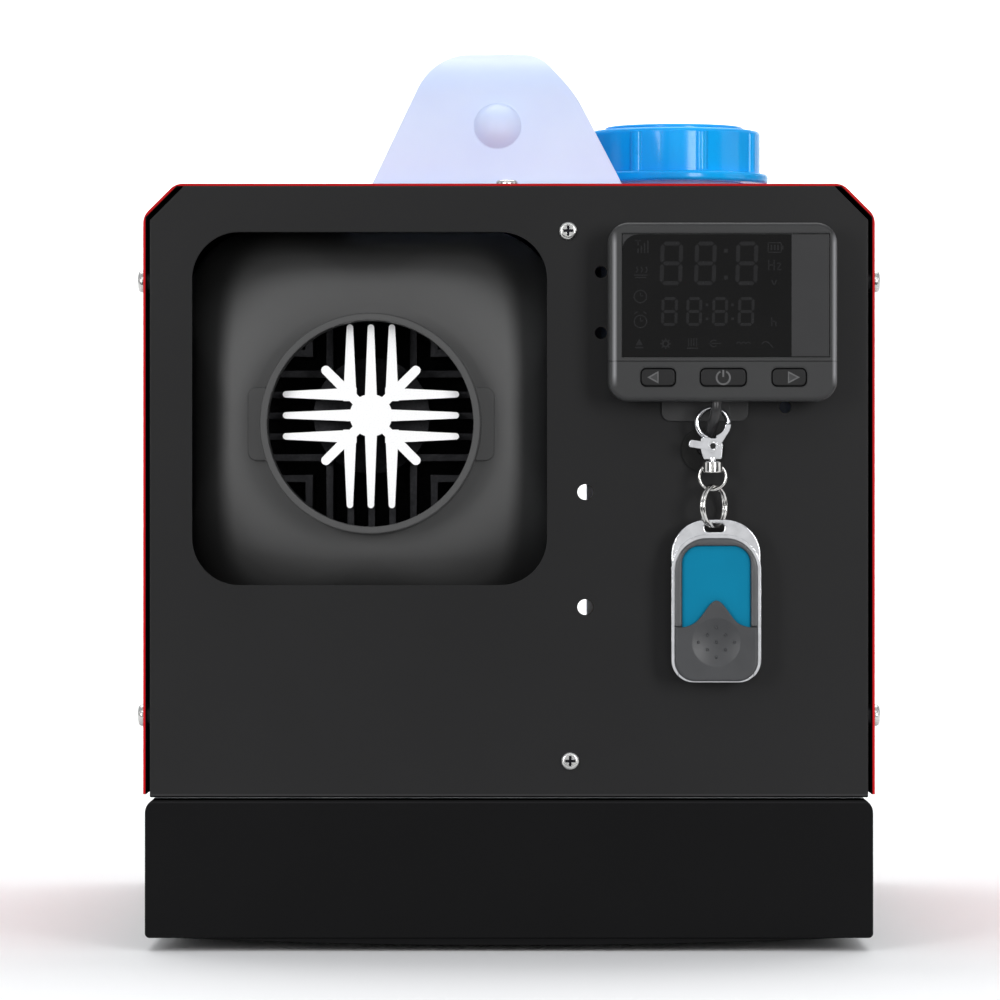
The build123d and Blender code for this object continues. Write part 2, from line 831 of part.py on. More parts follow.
def fuel_hoses():
    """Hose from the tank to the filter, and hose from the filter to the pump."""
    low, high = filter_ends
    first = rod_x((high + 1, tank_left - 3.3), outlet_y, outlet_z, hose_radius)
    first -= rod_x((high, tank_left), outlet_y, outlet_z, hose_bore)
    route = [(low - 1, outlet_y, outlet_z), (pump_x, outlet_y, outlet_z)]
    route += [(pump_x, pump_ends[0] - 1, outlet_z)]
    return [first, pipe(route, [14], hose_radius, hose_bore)]


def heater_fuel_line():
    route = [(pump_x, pump_ends[1] + 1, outlet_z), (pump_x, line_rise_y, outlet_z)]
    route += [(pump_x, line_rise_y, line_height), (pump_x, foot_front, line_height)]
    return pipe(route, [10, 10], hose_radius, hose_bore)


# ---- Heater ----


def shell_ring(y):
    outer = rounded((heater_x, heater_z), shell_width, shell_height, shell_corner)
    inner_size = (shell_width - 2 * shell_wall, shell_height - 2 * shell_wall)
    inner = rounded((heater_x, heater_z), *inner_size, shell_corner - shell_wall)
    return along_y(outer, y) - along_y(inner, y)


def casing_half(side):
    """Half of the heater's shell, with a joint lip outside along its parting line."""
    solid = shell_ring((shell_front, shell_rear))
    x = (heater_x - shell_width, heater_x + shell_width)
    keep_z = (heater_z, heater_z + side * shell_height)
    solid = solid & block(x, (shell_front - 1, shell_rear + 1), keep_z)
    if side < 0:
        cut_x = (heater_x - foot_half_x - fit, heater_x + foot_half_x + fit)
        cut_y = (bench_y - foot_half_y - fit, bench_y + foot_half_y + fit)
        solid -= block(cut_x, cut_y, (shell_bottom - 1, shell_bottom + 30))
    return solid


def outlet_nozzle():
    """Hood that draws the square shell in to the round outlet, with its collar and two side tabs."""
    ring_front = front_face + nozzle_setback
    neck_y = ring_front + nozzle_collar
    middle_y = shell_front + 0.6 * (neck_y - shell_front)

    def hood(inset, set_back):
        base_size = (shell_width - 2 * inset, shell_height - 2 * inset)
        base = rounded((heater_x, heater_z), *base_size, shell_corner - inset)
        shoulder = 2 * (hood_shoulder - inset)
        middle = rounded((heater_x, heater_z - nozzle_drop / 2), shoulder, shoulder + 3, hood_corner - inset)
        mouth_half = hood_mouth - inset
        mouth = rounded((heater_x, nozzle_z), 2 * mouth_half, 2 * mouth_half, mouth_half - 0.1)
        sections = ((shell_front, base), (middle_y + set_back, middle), (neck_y + set_back, mouth))
        planes = [Plane(origin=(0, y, 0), x_dir=(1, 0, 0), z_dir=(0, -1, 0)) * face for y, face in sections]
        return loft(planes)

    solid = hood(0, 0) + rod_y(heater_x, (ring_front, neck_y + 1), nozzle_z, nozzle_radius)
    shoulder_y = (ring_front + nozzle_land, neck_y + 1)
    solid += rod_y(heater_x, shoulder_y, nozzle_z, nozzle_radius + nozzle_shoulder)
    tab = rounded((heater_x, nozzle_z), 2 * (nozzle_radius + 4.7), 25, 3)
    solid += along_y(tab, (neck_y - hood_tab_rise, neck_y + 1))
    solid -= hood(shell_wall, shell_wall)
    return solid - rod_y(heater_x, (ring_front - 1, neck_y + 3), nozzle_z, nozzle_bore)


def inlet_grille():
    """Round guard over the blower: collar, rings and spokes."""
    y = (shell_rear, shell_rear + grille_depth)
    plate = rounded((heater_x, heater_z), shell_width, shell_height, shell_corner)
    solid = along_y(plate, (shell_rear, shell_rear + 3))
    solid += rod_y(heater_x, y, heater_z, wheel_radius + 2)
    solid -= rod_y(heater_x, (y[0] - 1, y[1] + 1), heater_z, wheel_radius)
    guard = (y[1] - 4, y[1] - 1)
    for radius in (14.0, 26.0, 38.0):
        ring = rod_y(heater_x, guard, heater_z, radius + 1.2)
        solid += ring - rod_y(heater_x, guard, heater_z, radius - 1.2)
    bar = block((12, wheel_radius + 0.5), guard, (-1.2, 1.2))
    for index in range(10):
        solid += Pos(heater_x, 0, heater_z) * Rot(0, index * 36, 0) * bar
    return solid


def blower_wheel():
    """Axial fan: hub and raked blades on the motor's shaft."""
    y = (wheel_front, wheel_front + wheel_depth)
    solid = rod_y(0, y, 0, wheel_hub) - rod_y(0, (y[0] - 1, y[1] - 4), 0, wheel_hub - 3)
    solid += rod_y(0, y, 0, shaft_radius + 4)
    blade = Pos(wheel_hub + 13, (y[0] + y[1]) / 2, 0) * Rot(35, 0, 0) * Box(27, wheel_depth, 2)
    for index in range(blade_count):
        solid += Rot(0, index * 360 / blade_count, 0) * blade
    solid &= rod_y(0, y, 0, wheel_radius - 1)
    solid -= rod_y(0, (y[0] - 1, y[1] + 1), 0, shaft_radius + 0.02)
    return Pos(heater_x, 0, heater_z) * solid


def rotor_shaft():
    return rod_y(heater_x, (core_rear + 10, wheel_front + wheel_depth), heater_z, shaft_radius)


def motor_body():
    y = (motor_front, motor_front + motor_length)
    solid = rod_y(heater_x, y, heater_z, motor_radius)
    solid = fillet(solid.edges(), 3)
    solid += rod_y(heater_x, (motor_front, motor_front + 4), heater_z, motor_radius + 4)
    return solid - rod_y(heater_x, (y[0] - 1, y[1] + 1), heater_z, shaft_radius + 0.05)


def combustion_impeller():
    """Small bladed disc that feeds air to the burner."""
    disc = rod_y(0, (impeller_front, impeller_front + 2), 0, impeller_radius)
    disc += rod_y(0, (impeller_front, impeller_front + 12), 0, shaft_radius + 4)
    blade = block((8, impeller_radius), (impeller_front + 1, impeller_front + 9), (-1, 1))
    for index in range(16):
        disc += Rot(0, index * 22.5, 0) * blade
    disc -= rod_y(0, (impeller_front - 1, impeller_front + 13), 0, shaft_radius + 0.02)
    return Pos(heater_x, 0, heater_z) * disc


def combustion_housing():
    """Cast housing round the small impeller, between the heat exchanger and the motor."""
    solid = rod_y(heater_x, (core_rear, motor_front), heater_z, housing_radius)
    solid -= rod_y(heater_x, (core_rear + 6, motor_front - 6), heater_z, impeller_radius + 2)
    solid -= rod_y(heater_x, (motor_front - 7, motor_front + 1), heater_z, shaft_radius + 3)
    solid -= rod_y(heater_x, (core_rear - 1, core_rear + 7), heater_z, 14)
    return solid


def fin_bar(direction, offset_z, start, end, root, tip):
    """Tapered fin with a rounded tip, pointing in one direction beside the axis."""
    shoulder = end - tip / 2
    corners = [(start, offset_z - root / 2), (shoulder, offset_z - tip / 2), (shoulder, offset_z + tip / 2)]
    corners += [(start, offset_z + root / 2)]
    fin = make_face(Polyline(*corners, close=True)) + Pos(shoulder, offset_z) * Circle(tip / 2)
    return Rot(0, 0, direction) * fin


def star_sketch():
    star = Circle(star_hub)
    for direction, end in ((0, 30.2), (90, 31.2), (180, 30.2), (270, 31.8)):
        for row in (-1, 0, 1):
            away = row * fin_pitch
            start = max(abs(away) - fin_root / 2, 0)
            star += fin_bar(direction, away, start, end, fin_root, fin_tip)
    for direction in (45, 135, 225, 315):
        star += fin_bar(direction, 0, 0, 23.4, 3.6, 3.2)
    return star


def fin_sketch(middle, shorter):
    """Fins that stand in four groups round a disc, each group in its own quarter."""
    fins = Circle(middle)
    for direction in (0, 90, 180, 270):
        for row in range(-3, 4):
            away = row * fin_pitch
            end = sqrt((core_radius - shorter) ** 2 - away ** 2)
            fins += fin_bar(direction, away, max(abs(away) - 1.3, 0), end, 2.6, 2.2)
    return fins


def heat_exchanger():
    """Cast aluminium exchanger: star-shaped nose, parallel fins, hollow core and bolted foot."""
    place = Pos(heater_x, star_z)
    solid = along_y(place * star_sketch(), (star_front, fin_front + 36))
    solid += along_y(place * fin_sketch(core_tube, 0), (dome_front, core_rear))
    solid += along_y(place * fin_sketch(nose_radius, 6), (fin_front, dome_front))
    solid -= rod_y(heater_x, (dome_front + 4, core_rear + 1), star_z, core_tube - core_wall)
    foot = block(
        (heater_x - foot_half_x, heater_x + foot_half_x),
        (bench_y - foot_half_y, bench_y + foot_half_y), (gasket_top, gasket_top + 16),
    )
    neck_height = (gasket_top + 10, star_z - core_tube + 8)
    neck = block((heater_x - 36, heater_x + 36), (bench_y - 34, core_rear), neck_height)
    solid += foot + neck
    for x, y, radius in stub_places():
        solid += rod_z(x, y, (bench_top - 16, gasket_top + 1), radius - 1.5)
        solid -= rod_z(x, y, (bench_top - 17, gasket_top + 24), radius - 3.5)
    for x, y in stud_places():
        solid += rod_z(x, y, (bench_top - 9, gasket_top + 1), stud_radius)
    solid -= rod_z(heater_x, plug_y, (heater_z, heater_z + 80), plug_radius + fit)
    solid -= block((heater_x - 8, heater_x + 8), (plug_y - 8, plug_y + 8), (star_z + core_tube, star_z + 70))
    return solid


def burner_tube():
    """Perforated stainless tube inside the exchanger, seated on the combustion housing."""
    y = (-96.0, core_rear)
    solid = rod_y(heater_x, y, heater_z, 26) - rod_y(heater_x, (y[0] - 1, y[1] + 1), heater_z, 24.8)
    for index in range(6):
        hole = rod_z(0, 0, (0, 40), 3.0)
        for ring in range(3):
            solid -= Pos(heater_x, -80 + ring * 22, heater_z) * Rot(0, index * 60, 0) * hole
    return solid - rod_z(heater_x, plug_y, (heater_z, heater_z + 40), plug_radius + fit)


def glow_plug():
    solid = rod_z(heater_x, plug_y, (heater_z + 18, heater_z + 50), plug_radius)
    return solid + rod_z(heater_x, plug_y, (star_z + core_tube + 0.3, star_z + core_tube + 6), 5.5)


def base_gasket():
    solid = block(
        (heater_x - foot_half_x, heater_x + foot_half_x),
        (bench_y - foot_half_y, bench_y + foot_half_y), (bench_top, gasket_top),
    )
    for x, y, radius in stub_places():
        solid -= rod_z(x, y, (bench_top - 1, gasket_top + 1), radius)
    for x, y in stud_places():
        solid -= rod_z(x, y, (bench_top - 1, gasket_top + 1), stud_radius + fit)
    return solid


def mounting_nuts():
    nuts = []
    for x, y in stud_places():
        nut = Pos(x, y, bench_top - 2 - 5) * extrude(RegularPolygon(5.8, 6), 5)
        nuts.append(nut - rod_z(x, y, (bench_top - 10, bench_top), stud_radius + 0.05))
    return nuts


def control_unit():
    """Flat electronics box seated on the motor's clamp, under the shell."""
    z = (heater_z + motor_radius + 0.3, heater_z + motor_radius + 22)
    solid = block((heater_x - 32, heater_x + 32), (motor_front + 6, motor_front + 48), z)
    solid = fillet(solid.edges().filter_by(Axis.Z), 4)
    plug_y_range = (motor_front + 16, motor_front + 36)
    return solid + block((heater_x + 32, heater_x + 40), plug_y_range, (z[0] + 4, z[1] - 6))


def exhaust_pipe():
    route = [(exhaust_x, exhaust_y, bench_top - 4), (exhaust_x, exhaust_y, pipe_height)]
    route += [(exhaust_x, rear_face + exhaust_stub, pipe_height)]
    stub = (rear_face + fit, rear_face + exhaust_stub)
    solid = pipe(route, [exhaust_bend], exhaust_radius - stub_step, exhaust_bore)
    sleeve = rod_y(exhaust_x, stub, pipe_height, exhaust_radius)
    return solid + (sleeve - rod_y(exhaust_x, stub, pipe_height, exhaust_bore))


def intake_hose():
    route = [(intake_x, intake_y, bench_top - 4), (intake_x, intake_y, pipe_height)]
    route += [(intake_x, rear_face + intake_stub, pipe_height)]
    stub = (rear_face + fit, rear_face + intake_stub)
    bore = intake_bore + 0.1
    solid = pipe(route, [exhaust_bend], intake_radius - stub_step, bore)
    sleeve = rod_y(intake_x, stub, pipe_height, intake_radius)
    return solid + (sleeve - rod_y(intake_x, stub, pipe_height, bore))


def power_inlet():
    """Threaded gland in the base's rear wall, with its nut outside."""
    solid = rod_y(power_x, (rear_face - 8, rear_face + 6), power_z, power_radius)
    nut = Plane(origin=(power_x, rear_face + 4, power_z), z_dir=(0, 1, 0)) * RegularPolygon(10, 6)
    solid += extrude(nut, -4)
    return solid - rod_y(power_x, (rear_face - 9, rear_face + 7), power_z, 4)


# ---- Controller ----


def controller_outline(inset):
    size = (controller_width - 2 * inset, controller_height - 2 * inset)
    return rounded((controller_x, controller_z), *size, controller_corner - inset)


def controller_bracket():
    """Flat sheet bracket on the panel; its tab shows below the controller."""
    y = (controller_back_face, front_face)
    solid = along_y(rounded((controller_x + bracket_offset, bracket_z), *bracket_size, 3), y)
    step = (controller_x + 3.1, controller_x + 13.1)
    step_y = (controller_back_face - 1, controller_back_face + 0.6)
    return solid - block(step, step_y, (0, controller_bottom - 1))


def controller_back():
    y = (controller_back_face, controller_seam)
    solid = along_y(controller_outline(0.5), y)
    solid = fillet(solid.faces().sort_by(Axis.Y)[-1].edges(), 1.0)
    solid -= along_y(controller_outline(0.5 + back_wall), (controller_back_face - 2, controller_seam - 1))
    for side in (-1, 1):
        for end in (-1, 1):
            x, z = controller_x + side * 33, controller_z + end * 24
            solid += rod_y(x, (controller_back_face - 1, board_face + board_sheet), z, 2.5)
    return solid


def controller_bezel():
    y = (controller_seam, controller_front)
    solid = along_y(controller_outline(0), y)
    solid = fillet(solid.faces().sort_by(Axis.Y)[0].edges(), 1.5)
    solid -= along_y(controller_outline(bezel_wall), (controller_front + front_wall, controller_seam + 1))
    through = (controller_front - 1, controller_seam)
    solid -= block((screen_left, screen_right), through, (screen_bottom, screen_top))
    for _, x, width in button_places:
        hole = rounded((x, button_z), width, button_height, 2)
        solid -= along_y(hole, (controller_front - 1, controller_seam))
    solid -= rod_z(*cable_exit, (controller_bottom - 1, controller_bottom + 3), cable_radius + slide_fit)
    return solid


def controller_screen():
    """Glass and display module in the bezel's window, standing on the board."""
    x = (screen_left + wall_gap, screen_right - wall_gap)
    z = (screen_bottom + wall_gap, screen_top - wall_gap)
    glass = block(x, (controller_front + screen_rise, controller_front + front_wall + 1), z)
    inner_x, inner_z = (x[0] + 4, x[1] - 4), (z[0] + 4, z[1] - 4)
    return glass + block(inner_x, (controller_front + front_wall, board_face), inner_z)


def controller_board():
    solid = along_y(controller_outline(bezel_wall + 1), (board_face, board_face + board_sheet))
    return solid


def controller_button(x, width):
    """Key with a flange behind the bezel that stops it falling out."""
    face = rounded((x, button_z), width - 2 * slide_fit, button_height - 2 * slide_fit, 1.8)
    solid = along_y(face, (controller_front + 0.5, board_face - button_travel - 0.1))
    solid = fillet(solid.faces().sort_by(Axis.Y)[0].edges(), 0.5)
    flange_y = (controller_front + front_wall + 0.1, controller_front + front_wall + 1.3)
    bottom_inside = controller_bottom + bezel_wall + 0.6
    flange_z = (max(button_z - button_height / 2 - 1, bottom_inside), screen_bottom - 0.3)
    return solid + block((x - width / 2 - 1.2, x + width / 2 + 1.2), flange_y, flange_z)


def controller_cable():
    """Short lead from the controller round the clasp's ring and through the panel."""
    x, y = cable_exit
    hole_x, hole_z = cable_hole
    route = [(x, y, controller_bottom + 3.2), (x - 0.1, y, ring_z + 3.3)]
    route += [(hole_x, front_face - 3.5, hole_z), (hole_x, front_face + cable_reach, hole_z)]
    return pipe(route, [6.0, 8.0], cable_radius)


def cable_grommet():
    x, z = cable_hole
    solid = rod_y(x, (front_face - 1.6, front_face), z, cable_hole_radius + 1.4)
    solid += rod_y(x, (front_face, panel_inside + 1.6), z, cable_hole_radius)
    solid += rod_y(x, (panel_inside, panel_inside + 1.6), z, cable_hole_radius + 1.4)
    solid -= rod_y(x, (front_face - 3, panel_inside + 3), z, cable_radius + 0.1)
    route = [(x, front_face + 14, z), (x, front_face - 3.5, z), (*cable_exit, ring_z + 3.3)]
    return solid - pipe(route, [8.0], cable_radius + 0.15)


# ---- Clasp, rings and remote ----


def arc_ring(start, end, tube):
    """Part of the clasp's ring between two angles, in degrees from +X."""
    ring = Rot(90, 0, 0) * Torus(ring_radius, tube)
    beyond = 3 * ring_radius
    angles = [radians(start + (end - start) * step / 6) for step in range(7)]
    points = [(0, 0)] + [(beyond * cos(angle), beyond * sin(angle)) for angle in angles]
    wedge = along_y(make_face(Polyline(*points, close=True)), (-3, 3))
    return ring & wedge


def clasp_hook():
    """Lobster clasp: open ring, flat body, rivet and the headed pin of its swivel."""
    half = clasp_thickness / 2
    solid = Pos(ring_x, chain_y, ring_z) * arc_ring(0, 250, ring_wire)
    body = outline(
        [(ring_x - 4.0, ring_z - 4.9), (ring_x - 1.2, ring_z - 4.8), (ring_x + 3.4, rivet_z + 0.7),
         (ring_x + 3.0, body_bottom), (ring_x - 3.0, body_bottom), (ring_x - 4.0, rivet_z - 1.4)],
        [0.6, 1, 1, 0.6, 0.6, 0.6],
    )
    solid += along_y(body, (chain_y - half, chain_y + half))
    front = chain_y - half
    solid += rod_y(ring_x, (front - gate_gap - gate_thickness - 0.3, front + 0.5), rivet_z, rivet_radius)
    cap_y_range = (front - gate_gap - gate_thickness - 0.9, front - gate_gap - gate_thickness - 0.2)
    solid += rod_y(ring_x, cap_y_range, rivet_z, rivet_radius + 0.9)
    solid += rod_z(ring_x, chain_y, (pin_head[0], body_bottom + 0.5), pin_radius)
    return solid + rod_z(ring_x, chain_y, pin_head, pin_head_radius)


def clasp_gate():
    """Curved gate on the rivet, with its thumb tail to the left."""
    front = chain_y - clasp_thickness / 2 - gate_gap
    y = (front - gate_thickness, front)
    inner, outer = ring_radius - ring_wire, ring_radius + ring_wire
    band = Circle(outer) - Circle(inner)
    sector = make_face(Polyline((0, 0), (9, -0.6), (9, -9), (2.4, -9), close=True))
    face = Pos(ring_x, ring_z) * (band & sector)
    face += Pos(ring_x, rivet_z) * Circle(2.4)
    face += make_face(Polyline((ring_x + 0.5, rivet_z + 2.2), (ring_x + 3.4, rivet_z + 4.2),
                               (ring_x + 4.4, rivet_z + 3.0), (ring_x + 1.6, rivet_z - 1.2), close=True))
    face += outline([(ring_x - 1, rivet_z - 1.6), (ring_x - 1, rivet_z + 1.0), (ring_x - 7.6, rivet_z + 2.0),
                     (ring_x - 8.4, rivet_z - 0.4)], [0, 0, 0.8, 0.8])
    solid = along_y(face, y)
    return solid - rod_y(ring_x, (y[0] - 1, y[1] + 1), rivet_z, rivet_radius + 0.08)


def swivel_ring():
    solid = rod_z(ring_x, chain_y, (collar_bottom, collar_top), collar_radius)
    solid = fillet(solid.edges(), 0.6)
    solid += Pos(ring_x, chain_y, swivel_z - dee_drop) * Rot(90, 0, 0) * Torus(dee_radius, dee_wire)
    solid -= rod_z(ring_x, chain_y, (pin_head[0] - fit, pin_head[1] + fit), pin_head_radius + fit)
    return solid - rod_z(ring_x, chain_y, (pin_head[0], collar_top + 1), pin_radius + 0.2)


def split_ring():
    turn = Rot(0, 0, split_turn) * Rot(90, 0, 0)
    coil = Torus(split_radius, split_wire)
    solid = turn * (Pos(0, 0, 0.75 * split_wire) * coil + Pos(0, 0, -0.75 * split_wire) * coil)
    return Pos(split_x, chain_y, split_middle) * solid


def remote_outline(inset, top):
    left, right = remote_x - remote_width / 2 + inset, remote_x + remote_width / 2 - inset
    low = remote_bottom + inset * 0.4
    big, small = 12.0 - inset, remote_corner - inset * 0.5
    return outline([(left, low), (right, low), (right, top), (left, top)], [small, small, big, big])


def remote_frame():
    """Chromed band round the shell, thinned to a flat loop with a slot at its top."""
    solid = along_y(remote_outline(0, remote_top), (chain_y - loop_depth / 2, chain_y + loop_depth / 2))
    band_y = (remote_front + slider_sheet + slider_gap, remote_back - 0.4)
    band = along_y(remote_outline(0, remote_top), band_y)
    band &= along_y(remote_outline(0, shell_top_z + crown_rim), band_y)
    solid += band
    solid -= along_y(remote_outline(shell_inset, shell_top_z), (remote_front - 1, remote_back + 1))
    for side in (-1, 1):
        x, half = remote_x + side * rail_x, rail_width / 2 + slide_fit
        groove_y = (remote_front, face_y + rail_depth + slide_fit)
        solid -= block((x - half, x + half), groove_y, (remote_bottom - 1, remote_bottom + 8))
    slot = rounded((split_x + 0.2, remote_top - loop_bar - loop_slot[1] / 2), *loop_slot, 1.2)
    solid -= along_y(slot, (chain_y - 9, chain_y + 9))
    bar_edges = [
        edge for edge in solid.edges().filter_by(Axis.X)
        if edge.center().Z > remote_top - loop_bar - 0.05 and abs(edge.center().X - split_x) < 4
    ]
    return fillet(bar_edges, 0.4)


def remote_shell():
    """Grey shell: rim round the label, grooves for the slider's rails, cavity for the board."""
    shape = remote_outline(shell_inset, shell_top_z)
    solid = along_y(shape, (face_y, remote_back))
    above_slider = block((-far, far), (-far, far), (slider_shoulder + 0.4, far))
    rim = along_y(shape, (remote_front, face_y + 0.1)) & above_slider
    wide = label_width + slide_fit
    pocket = rounded((remote_x, label_z), wide, label_height + slide_fit, 6)
    pocket_low = Pos(remote_x, label_foot - 1.8) * Rectangle(wide, 12)
    rim -= along_y(pocket + pocket_low, (remote_front - 1, face_y))
    rim_edges = rim.edges().filter_by_position(Axis.Y, remote_front - 0.01, remote_front + 0.01)
    low_edges = rim_edges.filter_by(lambda edge: edge.center().Z < slider_shoulder + 0.5)
    rim = fillet([edge for edge in rim_edges if edge not in low_edges], rim_round)
    solid += rim
    cavity = rounded((remote_x, 116.5), 23, 40, 4)
    solid -= along_y(cavity, (face_y + 2.0, remote_back - 1.5))
    for side in (-1, 1):
        x = remote_x + side * rail_x
        half = rail_width / 2 + slide_fit
        groove_y = (face_y - 1, face_y + rail_depth + slide_fit)
        solid -= block((x - half, x + half), groove_y, (0, rail_z[1] + slide_fit))
        hole_x = remote_x + side * remote_button_x
        solid -= rod_y(hole_x, (remote_front, face_y + 3), remote_button_z, remote_button_radius + slide_fit)
    return solid


def remote_label():
    upper = rounded((remote_x, label_z), label_width, label_height, 5.9)
    upper += Pos(remote_x, label_foot) * Rectangle(label_width, 6.4)
    return along_y(upper, (face_y - label_sheet, face_y))


def remote_slider():
    """Sliding cover with a waved top edge and a dished thumb rest."""
    left, right = remote_x - remote_width / 2 + shell_inset, remote_x + remote_width / 2 - shell_inset
    low = remote_bottom + 0.4
    wave = Spline(
        (remote_x - 11.2, slider_shoulder), (remote_x - 6.0, slider_shoulder + 2.6), (remote_x, slider_peak),
        (remote_x + 6.0, slider_shoulder + 2.6), (remote_x + 11.2, slider_shoulder),
        tangents=((1, 0.15), (1, -0.15)),
    )
    hump = make_face([wave, Line((remote_x + 11.2, slider_shoulder), (remote_x - 11.2, slider_shoulder))])
    corner = remote_corner - shell_inset * 0.5
    corners = [(left, low), (right, low), (right, slider_shoulder), (left, slider_shoulder)]
    plate = outline(corners, [corner, corner, 0, 0])
    solid = along_y(plate + hump, (remote_front, remote_front + slider_sheet))
    front_edges = solid.edges().filter_by_position(Axis.Y, remote_front - 0.01, remote_front + 0.01)
    side_edges = [edge for edge in front_edges if edge.center().Z < slider_shoulder - 0.5]
    solid = fillet(side_edges, slider_round)
    dish = Pos(remote_x, remote_front + 0.9 - 37.8, 105.5) * Sphere(37.8)
    solid -= dish
    for side in (-1, 1):
        x = remote_x + side * rail_x
        rail = (x - rail_width / 2, x + rail_width / 2)
        solid += block(rail, (remote_front + slider_sheet - 0.3, face_y + rail_depth), rail_z)
    return solid


def remote_board():
    return along_y(rounded((remote_x, 116.5), 22.4, 39.4, 3.7), (face_y + 3.5, face_y + 4.9))


def remote_button(side):
    x = remote_x + side * remote_button_x
    solid = rod_y(x, (face_y - label_sheet, face_y + 2.2), remote_button_z, remote_button_radius)
    return solid + rod_y(x, (face_y + 2.1, face_y + 2.8), remote_button_z, remote_button_radius + 0.7)


# ---- All the pieces ----

keep("base_tray", base_tray())
keep("bottom_plate", bottom_plate())
keep("foot_pads", *foot_pads())
keep("floor_plate", floor_plate())
keep("heater_bench", heater_bench())
keep("front_panel", front_panel())
keep("rear_panel", rear_panel())
keep("top_cover", top_cover())
keep("heat_shield", heat_shield())
keep("cover_screws", *cover_screws())
keep("case_screws", *case_screws())
keep("fuel_tank", fuel_tank())
keep("fuel_cap", fuel_cap())
keep("cap_seal", cap_seal())
keep("tank_fitting", tank_fitting())
keep("fuel_filter", fuel_filter())
keep("pump_body", pump_body())
keep("pump_plunger", pump_plunger())
keep("pump_mount", pump_mount())
keep("fuel_hoses", *fuel_hoses())
keep("heater_fuel_line", heater_fuel_line())
keep("lower_casing", casing_half(-1))
keep("upper_casing", casing_half(1))
keep("outlet_nozzle", outlet_nozzle())
keep("inlet_grille", inlet_grille())
keep("blower_wheel", blower_wheel())
keep("rotor_shaft", rotor_shaft())
keep("motor_body", motor_body())
keep("combustion_impeller", combustion_impeller())
keep("combustion_housing", combustion_housing())
keep("heat_exchanger", heat_exchanger())
keep("burner_tube", burner_tube())
keep("glow_plug", glow_plug())
keep("base_gasket", base_gasket())
keep("mounting_nuts", *mounting_nuts())
keep("control_unit", control_unit())
keep("exhaust_pipe", exhaust_pipe())
keep("intake_hose", intake_hose())
keep("power_inlet", power_inlet())
keep("controller_bracket", controller_bracket())
keep("controller_back", controller_back())
keep("controller_bezel", controller_bezel())
keep("controller_screen", controller_screen())
keep("controller_board", controller_board())
for button_name, button_x, button_width in button_places:
    keep(button_name, controller_button(button_x, button_width))
keep("controller_cable", controller_cable())
keep("cable_grommet", cable_grommet())
keep("clasp_hook", clasp_hook())
keep("clasp_gate", clasp_gate())
keep("swivel_ring", swivel_ring())
keep("split_ring", split_ring())
keep("remote_frame", remote_frame())
keep("remote_shell", remote_shell())
keep("remote_label", remote_label())
keep("remote_slider", remote_slider())
keep("remote_board", remote_board())
keep("remote_button_left", remote_button(-1))
keep("remote_button_right", remote_button(1))

os.makedirs("parts", exist_ok=True)
for name, solids in parts.items():
    solid = solids[0] if len(solids) == 1 else Compound(children=list(solids))
    export_step(solid, "parts/" + name + ".step")
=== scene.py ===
import bmesh
import bpy
from math import cos, pi, radians, sin, sqrt
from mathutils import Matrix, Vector


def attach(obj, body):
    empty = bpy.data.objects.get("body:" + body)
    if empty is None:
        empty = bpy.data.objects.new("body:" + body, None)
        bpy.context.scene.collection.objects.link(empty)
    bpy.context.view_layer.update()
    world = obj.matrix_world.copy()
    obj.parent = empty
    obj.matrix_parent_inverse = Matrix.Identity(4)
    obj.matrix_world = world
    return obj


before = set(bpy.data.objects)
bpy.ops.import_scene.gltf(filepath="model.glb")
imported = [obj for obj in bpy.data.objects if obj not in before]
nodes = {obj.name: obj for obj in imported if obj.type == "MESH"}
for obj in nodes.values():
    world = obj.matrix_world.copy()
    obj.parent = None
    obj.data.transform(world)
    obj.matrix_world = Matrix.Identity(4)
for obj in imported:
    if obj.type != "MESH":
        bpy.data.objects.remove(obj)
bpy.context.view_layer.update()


# ---- Materials ----

def linear(code):
    """An sRGB hex colour as linear red, green, blue and alpha."""
    parts = [int(code[place:place + 2], 16) / 255 for place in (1, 3, 5)]
    return (*[v / 12.92 if v <= 0.04045 else ((v + 0.055) / 1.055) ** 2.4 for v in parts], 1.0)


def add(tree, kind, links=None, **settings):
    """A new node, with its settings, and its sockets linked or set."""
    node = tree.nodes.new(kind)
    for name, value in settings.items():
        setattr(node, name, value)
    for socket, value in (links or {}).items():
        if isinstance(value, bpy.types.NodeSocket):
            tree.links.new(value, node.inputs[socket])
        else:
            node.inputs[socket].default_value = value
    return node


def per_metre(size):
    """Pattern scale for features of a size in millimetres."""
    return 1000 / size


